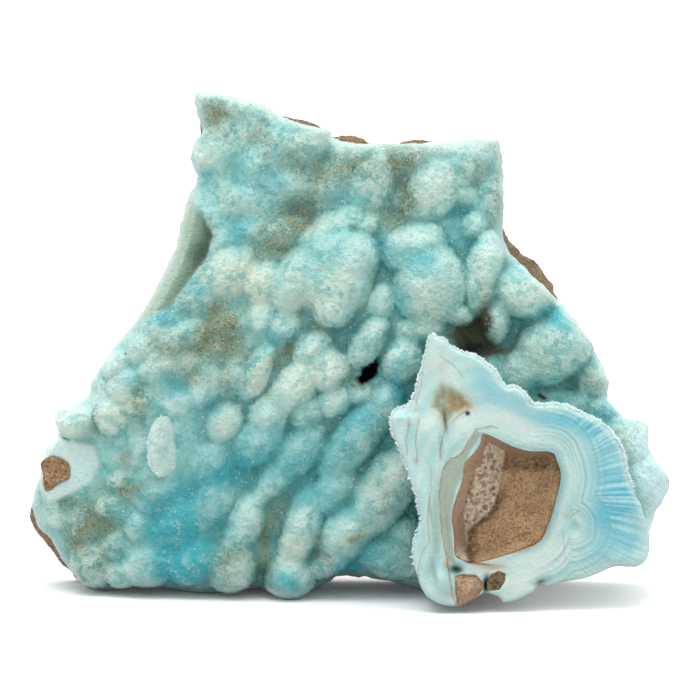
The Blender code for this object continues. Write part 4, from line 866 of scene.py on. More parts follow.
def fibre_waves(angles, seed, count):
    """Noise round a circle, from -1 to 1, with about this many waves."""
    ring = np.stack([np.cos(angles), np.sin(angles), np.full(angles.shape, 0.5)], axis=-1)
    return mist(ring * count / (2.0 * math.pi), 1.0, seed)


def line_at(distance, place, width):
    """1 on a thin line where the distance is at its place, falling to 0 over the width."""
    return np.exp(-(((distance - place) / width) ** 2))


def break_relief(across, up, from_rim, from_core, angles):
    """Relief of the broken face: swells and hollows, fine ripples round the core, and fibres on the right."""
    relief = 0.45 * flat_noise(across, up, 7.0, 54) + 0.18 * flat_noise(across, up, 2.4, 55)
    rippled = 0.01 + 0.04 * smoothstep((across - 38.0) / 6.0)
    relief = relief + rippled * np.sin(from_core * 7.0) + 0.06 * flat_noise(across, up, 0.6, 56)
    relief = relief - patches(across, up, BREAK_SWELLS)
    ridge = np.interp(up, [37.6, 40.0, 45.0, 52.6], [12.6, 14.2, 15.4, 16.6])
    relief = relief + 1.3 * np.maximum(ridge - across, 0.0) * smoothstep((up - 36.5) / 2.0)
    khaki = smoothstep(depth_inside(KHAKI_HOLLOW, across, up) / 2.0)
    relief = relief + 1.9 * khaki
    fibres = fibre_waves(np.broadcast_to(angles, across.shape), 57, 430.0)
    fibrous = smoothstep((from_core - 6.5) / 2.5) * smoothstep((across - 40.0) / 6.0)
    relief = relief + 0.2 * fibres * fibrous
    edge = np.clip(from_rim / 0.9, 0.0, 1.0)
    return relief + 0.9 * (1.0 - np.sqrt(1.0 - (1.0 - edge) ** 2)), fibres * fibrous


def break_bands(from_core, across):
    """Thin bands round the core: each is exp(-((distance - place) / width)^2), strongest on the right."""
    right = smoothstep((across - 35.0) / 8.0)
    left = smoothstep((24.0 - across) / 4.0)
    total = np.zeros(across.shape)
    for place, width, strength in RIGHT_BANDS:
        total = total + right * strength * line_at(from_core, place, width)
    for place, width, strength in LEFT_BANDS:
        total = total + left * strength * line_at(from_core, place, width)
    return np.clip(total, 0.0, 1.0)


def make_stub(crust_finish, break_finish):
    """The stub: a pocket for the core, the banded break, its rim, and walls that run back into the slab.

    Rings grow from the core's outline to the break's, radius = inner + (outer - inner) * t, then run back.
    """
    count, face_rows, wall_rows = ((900, 72, 22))
    angles = np.linspace(-math.pi, math.pi, count, endpoint=False)
    inner = polar_radius(CORE_OUTLINE, STUB_MIDDLE, angles)
    outer = polar_radius(BREAK_OUTLINE, STUB_MIDDLE, angles)
    edge = round_rows(STUB_MIDDLE, outer, angles)
    ragged = 0.35 + 0.65 * smoothstep((edge[1] - 5.0) / 6.0)
    outer = outer + ragged * (0.20 * flat_noise(*edge, 1.3, 51) + 0.16 * flat_noise(*edge, 0.5, 52))
    edge_across, edge_up = round_rows(STUB_MIDDLE, outer, angles)
    t = np.linspace(0.0, 1.0, face_rows)[:, None]
    radius = inner + (outer - inner) * t
    across, up = round_rows(STUB_MIDDLE, radius, angles)
    from_rim = np.maximum(depth_inside(rounded_loop(BREAK_OUTLINE, 300), across, up), 0.0)
    from_core = distance_to(rounded_loop(CORE_OUTLINE, 200), across, up)
    nucleus = np.hypot(across - NUCLEUS[0], up - NUCLEUS[1]) + 6.0 * smoothstep((NUCLEUS[0] - across) / 1.2)
    from_core = np.minimum(from_core, nucleus) + 0.25 * flat_noise(across, up, 3.0, 53)
    relief, fibres = break_relief(across, up, from_rim, from_core, angles)
    depth = break_face(across, up) + relief
    for outline in (KNOB_OUTLINE, CHIP_OUTLINE):
        depth = depth + 1.6 * smoothstep((depth_inside(outline, across, up) + 0.1) / 0.4)
    face = stand(across, up, depth)

    pocket_depth = np.array([CORE_BACK, CORE_BACK + 0.1, -24.0, -27.0])[:, None]
    pocket_depth = np.minimum(pocket_depth, depth[0] + 12.0)
    shares = np.array([0.5, 1.0, 1.0, 1.0])[:, None]
    pocket_across, pocket_up = round_rows(STUB_MIDDLE, shares * inner, angles)
    pocket = stand(pocket_across, pocket_up, pocket_depth + np.zeros(count))

    rim = np.stack([across[-1], up[-1]], axis=-1)
    outward = np.stack([np.cos(angles), np.sin(angles)], axis=-1)
    s = np.linspace(0.0, 1.0, wall_rows + 1)[1:, None]
    wall_depth = depth[-1] + (STUB_BACK - depth[-1]) * s
    step = -WALL_STEP * smoothstep((wall_depth - depth[-1] - 1.0) / 3.0)
    step = step * smoothstep((rim[:, 1] - WALL_FOOT) / 3.0)
    balls = wall_balls(BREAK_OUTLINE, break_face, STUB_WALL_LAST)
    reach = np.minimum(wall_reach(rim, outward, wall_depth, step, balls), -0.1)
    wall = rim + outward * reach[..., None]
    ring = stand(wall[..., 0], wall[..., 1], wall_depth)
    space = ring / MM
    domes = 0.5 * pebbles(space, 2.6, 58) + 0.25 * mist(space, 1.1, 59)
    ring = ring + grid_normals(ring, wrap=True) * ((0.7 - domes) * smoothstep(s * 6.0))[..., None] * MM
    ring[..., 2] = np.maximum(ring[..., 2], 0.0)
    rings = np.concatenate([pocket, face, ring])

    def spread(on_face, on_wall=0.0):
        parts = [np.zeros(pocket.shape[:2]), on_face + np.zeros(face.shape[:2])]
        return np.concatenate([*parts, on_wall + np.zeros(ring.shape[:2])])

    lines = np.zeros(across.shape)
    for line, strength, width in BROWN_LINES:
        away = open_distance(line, across + 0.15 * flat_noise(across, up, 1.5, 60), up)
        lines = np.maximum(lines, 1.3 * strength * np.exp(-((away / (0.8 * width)) ** 2)))
    lines = lines * (0.75 + 0.35 * flat_noise(across, up, 1.2, 62))
    fissured = line_at(across, 17.2, 1.0) * smoothstep((27.0 - up) / 4.0) * smoothstep((up - 8.0) / 4.0)
    khaki = smoothstep((depth_inside(KHAKI_HOLLOW, across, up) + 1.0) / 2.6)
    masks = {
        "band": spread(break_bands(from_core, across)),
        "ring": spread(from_core),
        "edge": spread(from_rim),
        "line": spread(np.clip(lines, 0.0, 1.0)),
        "green": spread(np.maximum(smoothstep((depth_inside(GREEN_ZONE, across, up) + 0.2) / 0.5), 0.6 * fissured)),
        "khaki": spread(khaki),
        "stain": spread(np.clip(patches(across, up, BREAK_STAINS), 0.0, 1.0)),
        "blue": spread(np.clip(patches(across, up, BREAK_BLUES), 0.0, 1.0), 0.35),
        "white": spread(np.clip(patches(across, up, BREAK_WHITES), 0.0, 1.0)),
        "black_flecks_and_hole_shade": spread(np.clip(patches(across, up, BREAK_HOLES), 0.0, 1.0)),
        "tan": spread(np.clip(patches(across, up, BREAK_TANS), 0.0, 1.0)),
        "fibre": spread(fibres),
        "crown": spread(0.5, smoothstep(0.2 + domes)),
        # Painted shade: darker between the balls on the wall.
        "hollow_shade": spread(0.0, smoothstep(0.9 - 1.6 * domes) * 0.5),
        "cream_and_highlight": spread(0.3, 0.45),
        "strip": spread(0.0),
        "cave_dirt_and_shade": spread(0.0),
        "shade": spread(0.0),
        "break": spread(1.0, 0.0),
    }
    middle = np.array([STUB_MIDDLE[0]]), np.array([STUB_MIDDLE[1]])
    rows_of = np.concatenate([np.ones(len(pocket) + len(face) - 1, int), np.zeros(len(ring), int)])
    first, last = stand(*middle, np.array([CORE_BACK])), stand(*middle, np.array([STUB_BACK]))
    finishes = [crust_finish, break_finish]
    closed_round("broken_stub", rings, first, last, masks, finishes, "aragonite", ["aragonite"], rows_of)
    return edge_across, edge_up, depth[-1], angles


def make_rock(name, outline, middle, face_of, back, relief, finish, count, face_rows, masks_of, node):
    """A piece of host rock: its face over rings that fill its outline, its side, and a flat back."""
    angles = np.linspace(-math.pi, math.pi, count, endpoint=False)
    edge = polar_radius(outline, middle, angles)
    edge_across, edge_up = round_rows(middle, edge, angles)
    edge = edge + 0.14 * flat_noise(edge_across, edge_up, 0.7, 61)
    t = np.linspace(0.0, 1.0, face_rows + 1)[1:, None]
    across, up = round_rows(middle, edge * t, angles)
    depth = face_of(across, up)
    face = stand(across, up, depth)
    face = face - grid_normals(face, wrap=True) * relief(face / MM, across, up)[..., None] * MM
    side_depth = depth[-1] + (back - depth[-1]) * np.array([0.3, 1.0])[:, None]
    side = stand(np.stack([across[-1]] * 2), np.stack([up[-1]] * 2), side_depth)
    rings = np.concatenate([face, side])
    masks = {
        mask: np.concatenate([values, np.repeat(values[-1:], 2, axis=0)])
        for mask, values in masks_of(across, up).items()
    }
    first = face[0].mean(axis=0)
    last = stand(np.array([middle[0]]), np.array([middle[1]]), np.array([back]))
    return closed_round(name, rings, first, last, masks, [finish], "host_rock", [node])


def core_relief(space, across, up):
    """Pits eat into the upper left wall, and the rest is sandy."""
    wall = smoothstep((core_crease(up) + 0.5 - across) / 1.2)
    ledge = smoothstep((up - 25.0) / 1.5) * smoothstep((across - 29.0) / 2.0)
    rim = 1.0 - smoothstep((distance_to(CORE_OUTLINE, across, up) - 1.6) / 0.6)
    pits = pebbles(space, 1.1, 71, 0.6) + 0.7 * pebbles(space, 0.6, 72, 0.6)
    sand = 0.22 * mist(space, 0.4, 73) + 0.22 * mist(space, 0.9, 74) + 0.35 * mist(space, 3.0, 75)
    return (-0.7 * pits * np.maximum(wall, 0.6 * ledge) + sand) * (1.0 - 0.85 * rim)


def core_masks(across, up):
    """The smooth ring along the left and top, the pale wall, pits, and the thin orange rim."""
    from_rim = distance_to(CORE_OUTLINE, across, up)
    around = smoothstep((30.0 - across) / 4.0) * smoothstep((up - 9.0) / 3.0) + smoothstep((up - 28.4) / 1.4)
    top = smoothstep((up - 28.0) / 2.0)
    width = 2.1 - 0.9 * top
    space = np.stack([across, up, np.full(across.shape, 0.2)], axis=-1)
    wall = smoothstep((core_crease(up) + 0.2 - across) / 0.8)
    ledge = smoothstep((up - 25.4) / 1.2) * smoothstep((across - 29.0) / 2.0)
    # Painted shade along the crease where the pale wall meets the floor, and darker on the upper right ledge.
    crease = np.exp(-(((across - core_crease(up) - 0.5) / 1.1) ** 2)) * smoothstep((24.0 - up) / 3.0)
    return {
        "smooth": (1.0 - smoothstep((from_rim - width) / 0.5)) * np.clip(around, 0.0, 1.0),
        "wall": wall,
        "pit": smoothstep(1.5 * pebbles(space, 1.1, 71, 0.6) - 0.1) * np.maximum(wall, 0.5 * ledge),
        "crease": np.clip(crease + 0.6 * ledge, 0.0, 1.0),
        "edge": (1.0 - smoothstep(from_rim / 0.45)) * smoothstep((24.0 - up) / 8.0 + smoothstep((across - 38.0) / 3.0)),
    }


def masks_of_bit(outline):
    """A small rock is plain but for an orange rim and a few pits."""

    def masks_of(across, up):
        space = np.stack([across, up, np.full(across.shape, 0.2)], axis=-1)
        masks = {name: np.zeros(across.shape) for name in ("smooth", "wall", "crease")}
        masks["pit"] = 0.8 * smoothstep(1.5 * pebbles(space, 0.9, 78, 0.5) - 0.2)
        masks["edge"] = 0.8 - 0.8 * smoothstep(distance_to(outline, across, up) / 0.5)
        return masks

    return masks_of


def make_rock_back(finish):
    """The host rock behind the crust: a rough back over rings that fill its outline, thinner at the rim."""
    count, face_rows = ((720, 64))
    angles = np.linspace(-math.pi, math.pi, count, endpoint=False)
    edge = polar_radius(ROCK_OUTLINE, SLAB_MIDDLE, angles)
    edge_across, edge_up = round_rows(SLAB_MIDDLE, edge, angles)
    edge = edge + 0.35 * flat_noise(edge_across, edge_up, 1.4, 81) + 0.2 * flat_noise(edge_across, edge_up, 0.6, 82)
    t = np.linspace(1.0, 0.0, face_rows, endpoint=False)[:, None]
    across, up = round_rows(SLAB_MIDDLE, edge * t, angles)
    rim = 1.0 - smoothstep(distance_to(ROCK_OUTLINE, across, up) / 7.0)
    swell = 2.4 * np.exp(-(((across + 4.0) / 34.0) ** 2) - ((up - 34.0) / 30.0) ** 2)
    rough = ROCK_ROUGH * flat_noise(across, up, 15.0, 83) + 0.8 * ROCK_ROUGH * flat_noise(across, up, 6.0, 84)
    depth = ROCK_BACK + ROCK_FACE_SLOPE * up + swell + rough * (1.0 - 0.6 * rim) - 1.6 * rim
    back = stand(across, up, depth)
    space = back / MM
    crumble = 0.8 * pebbles(space, 2.6, 85) - 0.7 * pebbles(space, 1.7, 86, 0.7) + 0.45 * mist(space, 0.9, 87)
    back = back + grid_normals(back, wrap=True) * (crumble * (1.0 - 0.5 * rim))[..., None] * MM
    back[..., 2] = np.maximum(back[..., 2], 0.0)
    front_rows = np.array([0.5, 0.98, 1.0])[:, None]
    front_across, front_up = round_rows(SLAB_MIDDLE, edge * front_rows, angles)
    front = stand(front_across, front_up, rock_front(front_across, front_up) - 0.15)
    rings = np.concatenate([front, back])
    none = np.zeros(rings.shape[:2])
    middle = np.array([SLAB_MIDDLE[0]]), np.array([SLAB_MIDDLE[1]])
    first = stand(*middle, rock_front(*middle))
    pits = np.concatenate([np.zeros(front.shape[:2]), smoothstep(0.2 - 1.2 * crumble)])
    dark = smoothstep(0.35 + 1.3 * flat_noise(across, up, 12.0, 88) + 0.8 * flat_noise(across, up, 4.5, 89))
    pale = smoothstep(0.15 + 1.2 * flat_noise(across, up, 10.0, 90) + 0.7 * flat_noise(across, up, 3.0, 95))
    unseen = np.zeros(front.shape[:2])
    masks = {
        "smooth": none,
        "wall": np.concatenate([unseen, 0.45 * pale]),
        "crease": np.concatenate([unseen, 0.5 * dark]),
        "pit": pits,
        "edge": none,
    }
    closed_round(
        "rock_behind_crust", rings, first, back[-1].mean(axis=0), masks, [finish], "host_rock",
        ["host_rock_back"],
    )


def make_shard(finish):
    """The pale shard: rings from its middle to its outline over a sloping face, and sides that go into the crust."""
    count, face_rows = ((260, 34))
    middle = (-36.0, 30.8)
    angles = np.linspace(-math.pi, math.pi, count, endpoint=False)
    edge = polar_radius(SHARD_OUTLINE, middle, angles)
    edge_across, edge_up = round_rows(middle, edge, angles)
    edge = edge + 0.45 * flat_noise(edge_across, edge_up, 1.8, 91) + 0.2 * flat_noise(edge_across, edge_up, 0.7, 94)
    t = np.linspace(0.0, 1.0, face_rows + 1)[1:, None]
    across, up = round_rows(middle, edge * t, angles)
    depth = shard_face(across, up) + 0.35 * flat_noise(across, up, 2.2, 92) + 0.15 * flat_noise(across, up, 0.7, 93)
    depth = depth + 0.8 * (t**6)
    side_depth = depth[-1] + np.array([1.2, 3.0, 6.0])[:, None]
    side = stand(np.stack([across[-1]] * 3), np.stack([up[-1]] * 3), side_depth)
    face = stand(across, up, depth)
    rings = np.concatenate([face, side])
    shape = rings.shape[:2]
    levels = {"crown": 0.9, "cream_and_highlight": 0.4, "blue": 0.1, "break": 0.45}
    names = ("hollow_shade", "stain", "black_flecks_and_hole_shade", "cave_dirt_and_shade", "strip", "shade", "edge", *levels)
    masks = {name: np.full(shape, levels.get(name, 0.0)) for name in names}
    last = side[-1].mean(axis=0)
    closed_round("pale_shard", rings, face[0].mean(axis=0), last, masks, [finish], "aragonite", ["aragonite"])
    return edge_across, edge_up, depth[-1], angles


def crystals(name, feet, axes, lengths, widths, sides, profile, finish, seed):
    """Many small crystals as one mesh: each is a ring of sides for every (height, width) pair of the profile.

    A crystal's points are foot + axis * height * length + (side_a * cos + side_b * sin) * width, and it is
    closed by a tip and by one point under its foot.
    """
    rng = np.random.default_rng(seed)
    axes = axes / np.linalg.norm(axes, axis=1, keepdims=True)
    helper = rng.normal(size=axes.shape)
    side_a = np.cross(axes, helper)
    side_a /= np.linalg.norm(side_a, axis=1, keepdims=True)
    side_b = np.cross(axes, side_a)
    turn = np.linspace(0.0, 2.0 * math.pi, sides, endpoint=False)
    rings = []
    for height, width in profile:
        centre = feet + axes * (lengths * height)[:, None]
        spoke = side_a[:, None] * np.cos(turn)[:, None] + side_b[:, None] * np.sin(turn)[:, None]
        rings.append(centre[:, None] + spoke * (widths * width)[:, None, None])
    body = np.stack(rings, axis=1).reshape(len(feet), -1, 3)
    tip = (feet + axes * lengths[:, None])[:, None]
    foot = (feet - axes * (0.2 * lengths)[:, None])[:, None]
    points = np.concatenate([body, tip, foot], axis=1)
    each = points.shape[1]
    one = grid_faces(len(profile), sides, wrap=True)[:, ::-1]
    around = np.arange(sides)
    beside = (around + 1) % sides
    end = (len(profile) - 1) * sides
    caps = np.concatenate([
        np.stack([end + around, end + beside, np.full(sides, each - 2)], axis=-1),
        np.stack([beside, around, np.full(sides, each - 1)], axis=-1),
    ])
    offset = np.arange(len(feet))[:, None, None] * each
    quads = (offset + one).reshape(-1, 4)
    triangles = (offset + caps).reshape(-1, 3)
    shade = np.repeat(rng.random(len(feet)), each)
    piece = surface(
        name, points.reshape(-1, 3), quads, triangles, {"shade": shade}, [finish], "aragonite", ["aragonite"]
    )
    piece.data.shade_flat()
    return piece


def make_fringe(name, edge, count, keep, length, finish, seed):
    """Drusy needles along a rim, pointing outwards and a little to the front, where keep() allows them."""
    rng = np.random.default_rng(seed)
    edge_across, edge_up, edge_depth, angles = edge
    chosen = rng.integers(0, len(angles), count)
    chosen = chosen[rng.random(count) < keep(edge_across[chosen], edge_up[chosen])]
    back = rng.random(len(chosen)) ** 1.5 * 3.4
    inward = rng.random(len(chosen)) * 0.5
    across = edge_across[chosen] - np.cos(angles[chosen]) * inward
    up = edge_up[chosen] - np.sin(angles[chosen]) * inward
    feet = stand(across, up, edge_depth[chosen] + back)
    outward = np.stack([np.cos(angles[chosen]), -0.35 + 0.0 * across, np.sin(angles[chosen])], axis=-1)
    axes = outward + rng.normal(scale=0.45, size=outward.shape)
    lengths = (0.5 + rng.random(len(chosen))) * length * MM
    widths = lengths * (0.16 + 0.08 * rng.random(len(chosen)))
    profile = [(0.0, 0.9), (0.62, 1.0)]
    return crystals(name, feet, axes, lengths, widths, 5, profile, finish, seed + 1)


def make_sugar(crust, finish, count):
    """Sugary grains scattered over the crust's front, each a small three-sided point on the surface."""
    points, normals, shown, across, up = crust
    rng = np.random.default_rng(97)
    weight = (shown * (0.35 + 0.65 * smoothstep(0.5 + flat_noise(across, up, 6.0, 98)))).ravel()
    weight[inside(BREAK_OUTLINE, across, up).ravel()] = 0.0
    chosen = rng.choice(len(weight), size=count, p=weight / weight.sum())
    at = points.reshape(-1, 3)[chosen]
    normal = -normals.reshape(-1, 3)[chosen]
    normal = np.where(normal[:, 1:2] > 0.0, -normal, normal)
    at = at + rng.normal(scale=0.12 * MM, size=at.shape)
    axes = normal + rng.normal(scale=0.5, size=normal.shape)
    lengths = (0.12 + 0.18 * rng.random(count) ** 2) * MM
    widths = lengths * (0.45 + 0.3 * rng.random(count))
    return crystals("sugar_grains", at, axes, lengths, widths, 3, [(0.0, 1.0)], finish, 99)


def srgb(red, green, blue):
    """A colour of 0 to 255 as linear light."""
    values = np.array([red, green, blue]) / 255.0
    linear = np.where(values <= 0.04045, values / 12.92, ((values + 0.055) / 1.055) ** 2.4)
    return (*[float(value) for value in linear], 1.0)


def put(tree, kind, inputs=None, **settings):
    """A new node with its settings, and its inputs linked or set."""
    node = tree.nodes.new(kind)
    for key, value in settings.items():
        setattr(node, key, value)
    for key, value in (inputs or {}).items():
        if isinstance(value, bpy.types.NodeSocket):
            tree.links.new(value, node.inputs[key])
        else:
            node.inputs[key].default_value = value
    return node


def mask(tree, name):
    return put(tree, "ShaderNodeAttribute", attribute_name=name).outputs["Fac"]


def over(tree, amount, under, top, mode="MIX"):
    """The top colour laid on the one under it by this amount."""
    node = put(tree, "ShaderNodeMix", {0: amount, 6: under, 7: top}, data_type="RGBA", blend_type=mode)
    return node.outputs[2]


def ranged(tree, value, low, high, to_low=0.0, to_high=1.0):
    inputs = {"Value": value, "From Min": low, "From Max": high, "To Min": to_low, "To Max": to_high}
    return put(tree, "ShaderNodeMapRange", inputs, interpolation_type="SMOOTHSTEP").outputs["Result"]


def maths(tree, operation, first, second):
    return put(tree, "ShaderNodeMath", {0: first, 1: second}, operation=operation).outputs[0]


def noise(tree, where, size, detail=3.0, rough=0.55):
    """Noise whose features are about this many millimetres across."""
    inputs = {"Vector": where, "Scale": 1.0 / (size * MM), "Detail": detail, "Roughness": rough}
    return put(tree, "ShaderNodeTexNoise", inputs).outputs["Fac"]


def sugar_group():
    """Sugary grain: bright and dark flecks, and a height of fine crystals, at a given size."""
    group = bpy.data.node_groups.new("sugary_grain", "ShaderNodeTree")
    group.interface.new_socket("Vector", in_out="INPUT", socket_type="NodeSocketVector")
    group.interface.new_socket("Scale", in_out="INPUT", socket_type="NodeSocketFloat")
    for name in ("Bright", "Dark", "Height"):
        group.interface.new_socket(name, in_out="OUTPUT", socket_type="NodeSocketFloat")
    come = group.nodes.new("NodeGroupInput")
    leave = group.nodes.new("NodeGroupOutput")
    fine = put(
        group, "ShaderNodeTexNoise",
        {"Vector": come.outputs["Vector"], "Scale": come.outputs["Scale"], "Detail": 3.0, "Roughness": 0.65},
    ).outputs["Fac"]
    facets = put(
        group, "ShaderNodeTexVoronoi",
        {"Vector": come.outputs["Vector"], "Scale": maths(group, "MULTIPLY", come.outputs["Scale"], 0.8)},
    )
    group.links.new(ranged(group, fine, 0.55, 0.72), leave.inputs["Bright"])
    group.links.new(ranged(group, fine, 0.45, 0.30), leave.inputs["Dark"])
    cells = maths(group, "MULTIPLY", facets.outputs["Distance"], 0.6)
    group.links.new(maths(group, "SUBTRACT", fine, cells), leave.inputs["Height"])
    return group


def new_material(name):
    made = bpy.data.materials.new(name)
    made.use_nodes = True
    tree = made.node_tree
    shader = tree.nodes["Principled BSDF"]
    where = put(tree, "ShaderNodeTexCoord").outputs["Object"]
    return made, tree, shader, where


def grain_of(tree, group, where, size):
    node = put(tree, "ShaderNodeGroup")
    node.node_tree = group
    tree.links.new(where, node.inputs["Vector"])
    node.inputs["Scale"].default_value = 1.0 / (size * MM)
    return node.outputs


def bumped(tree, shader, height, distance, strength=1.0):
    bump = put(tree, "ShaderNodeBump", {"Strength": strength, "Distance": distance * MM, "Height": height})
    tree.links.new(bump.outputs["Normal"], shader.inputs["Normal"])


def glow_through(shader, weight, scale):
    """Light that scatters under the surface, further in green and blue than in red."""
    shader.inputs["Subsurface Weight"].default_value = weight
    shader.inputs["Subsurface Radius"].default_value = (0.55, 1.0, 1.0)
    shader.inputs["Subsurface Scale"].default_value = scale * MM


def crust_material(group):
    """Turquoise crust: pale crowns, blue patches, crisp teal spots, hollows darkened as painted shade, khaki film and
    brown specks; the rim, top edge and right lobes are lightened as painted highlight.
    """
    made, tree, shader, where = new_material("aragonite_crust")
    cloud = noise(tree, where, 7.0)
    colour = over(tree, ranged(tree, cloud, 0.35, 0.65), srgb(114, 196, 194), srgb(154, 208, 196))
    crown = maths(tree, "MULTIPLY", mask(tree, "crown"), ranged(tree, noise(tree, where, 3.4), 0.3, 0.6, 0.35, 0.9))
    colour = over(tree, crown, colour, srgb(214, 238, 230))
    # Cream, and painted highlight along the top edge and on the right lobes.
    cream_and_highlight = maths(tree, "MULTIPLY", mask(tree, "cream_and_highlight"), 0.8)
    colour = over(tree, cream_and_highlight, colour, srgb(218, 226, 204))
    blue = maths(tree, "MULTIPLY", mask(tree, "blue"), ranged(tree, noise(tree, where, 2.2), 0.3, 0.55, 0.65, 1.0))
    colour = over(tree, blue, colour, srgb(52, 172, 182))
    spots = ranged(tree, noise(tree, where, 2.2, 2.0), 0.52, 0.59)
    amount = maths(tree, "ADD", ranged(tree, noise(tree, where, 9.0), 0.4, 0.6, 0.05, 0.5), mask(tree, "stain"))
    dapple = maths(tree, "MULTIPLY", spots, maths(tree, "MINIMUM", amount, 0.8))
    colour = over(tree, dapple, colour, srgb(84, 174, 176))
    frost = maths(tree, "MULTIPLY", mask(tree, "frost"), ranged(tree, noise(tree, where, 2.8), 0.3, 0.6, 0.6, 0.95))
    colour = over(tree, frost, colour, srgb(214, 248, 250))
    # Painted shade: dark teal laid into the hollows and on steep sides.
    hollow_shade = maths(tree, "MULTIPLY", mask(tree, "hollow_shade"), 0.9)
    colour = over(tree, hollow_shade, colour, srgb(46, 120, 122))
    film = ranged(tree, noise(tree, where, 2.6), 0.32, 0.56, 0.4, 1.0)
    stain = mask(tree, "stain")
    colour = over(tree, maths(tree, "MULTIPLY", stain, film), colour, srgb(128, 148, 120))
    grains = grain_of(tree, group, where, 0.5)
    clustered = ranged(tree, noise(tree, where, 2.4), 0.44, 0.62, 0.06, 0.75)
    colour = over(tree, maths(tree, "MULTIPLY", grains["Bright"], clustered), colour, srgb(228, 242, 238))
    colour = over(tree, maths(tree, "MULTIPLY", grains["Dark"], 0.2), colour, srgb(96, 170, 170))
    speck = ranged(tree, noise(tree, where, 0.6, 3.0, 0.7), 0.55, 0.61)
    colour = over(tree, maths(tree, "MULTIPLY", maths(tree, "MULTIPLY", stain, speck), 0.8), colour, srgb(112, 80, 48))
    # The left strip: pale at its outer edge, darkening inward as painted shade.
    strip = over(tree, mask(tree, "shade"), srgb(160, 184, 166), srgb(92, 112, 92))
    colour = over(tree, maths(tree, "MULTIPLY", mask(tree, "strip"), 0.9), colour, strip)
    # Painted highlight: the crust's rim is lightened.
    pale = maths(tree, "MULTIPLY", mask(tree, "edge"), 0.5)
    colour = over(tree, pale, colour, srgb(228, 242, 238))
    colour = over(tree, maths(tree, "MULTIPLY", mask(tree, "break"), 0.85), colour, srgb(214, 238, 232))
    # The cave darkened for dirt and as painted shade, then black flecks and the hole painted black as shade.
    colour = over(tree, mask(tree, "cave_dirt_and_shade"), colour, srgb(84, 88, 66))
    colour = over(tree, mask(tree, "black_flecks_and_hole_shade"), colour, srgb(26, 28, 22))
    tree.links.new(colour, shader.inputs["Base Color"])
    shader.inputs["Roughness"].default_value = 0.55
    glow_through(shader, 0.25, 1.3)
    coarse = noise(tree, where, 1.1)
    height = maths(tree, "ADD", maths(tree, "MULTIPLY", grains["Height"], 0.6), coarse)
    bumped(tree, shader, height, 0.5)
    return made


def break_material(group):
    """The banded break: bands and fibres from its masks, brown lines, a greenish zone, stains, a pale rim and holes
    darkened as painted shade.
    """
    made, tree, shader, where = new_material("aragonite_break")
    fine = noise(tree, where, 1.4)
    moved = maths(tree, "ADD", mask(tree, "ring"), maths(tree, "MULTIPLY", fine, 0.4))
    waves = put(tree, "ShaderNodeMath", {0: maths(tree, "MULTIPLY", moved, 8.6)}, operation="SINE").outputs[0]
    slow = put(tree, "ShaderNodeMath", {0: maths(tree, "MULTIPLY", moved, 2.1)}, operation="SINE").outputs[0]
    colour = over(tree, ranged(tree, slow, -1.0, 1.0), srgb(198, 226, 219), srgb(182, 220, 216))
    colour = over(tree, mask(tree, "white"), colour, srgb(224, 238, 230))
    colour = over(tree, ranged(tree, waves, 0.2, 1.0, 0.0, 0.16), colour, srgb(216, 234, 228))
    blue = mask(tree, "blue")
    fibre = ranged(tree, mask(tree, "fibre"), -0.4, 0.5)
    colour = over(tree, maths(tree, "MULTIPLY", blue, 0.9), colour, srgb(84, 190, 210))
    pale_fibre = maths(tree, "MULTIPLY", ranged(tree, fibre, 0.3, 1.0, 0.0, 0.75), blue)
    colour = over(tree, pale_fibre, colour, srgb(204, 238, 238))
    colour = over(tree, maths(tree, "MULTIPLY", mask(tree, "band"), 0.75), colour, srgb(104, 188, 198))
    colour = over(tree, maths(tree, "MULTIPLY", mask(tree, "green"), 0.85), colour, srgb(160, 173, 154))
    rim = ranged(tree, mask(tree, "edge"), 1.4, 0.2)
    colour = over(tree, maths(tree, "MULTIPLY", rim, 0.5), colour, srgb(206, 228, 222))
    colour = over(tree, maths(tree, "MULTIPLY", mask(tree, "khaki"), ranged(tree, fine, 0.3, 0.6, 0.45, 0.95)), colour, srgb(172, 168, 134))
    stain = maths(tree, "MULTIPLY", mask(tree, "stain"), ranged(tree, fine, 0.3, 0.65, 0.35, 0.95))
    colour = over(tree, stain, colour, srgb(184, 148, 96))
    colour = over(tree, mask(tree, "line"), colour, srgb(162, 120, 78))
    colour = over(tree, mask(tree, "tan"), colour, srgb(214, 200, 178))
    grains = grain_of(tree, group, where, 0.30)
    colour = over(tree, maths(tree, "MULTIPLY", grains["Bright"], 0.3), colour, srgb(228, 240, 236))
    colour = over(tree, maths(tree, "MULTIPLY", grains["Dark"], 0.2), colour, srgb(140, 180, 178))
    # Painted shade: the break's holes and pits are darkened.
    colour = over(tree, mask(tree, "black_flecks_and_hole_shade"), colour, srgb(58, 48, 34))
    tree.links.new(colour, shader.inputs["Base Color"])
    shader.inputs["Roughness"].default_value = 0.5
    glow_through(shader, 0.3, 1.0)
    bumped(tree, shader, maths(tree, "ADD", grains["Height"], fine), 0.15)
    return made


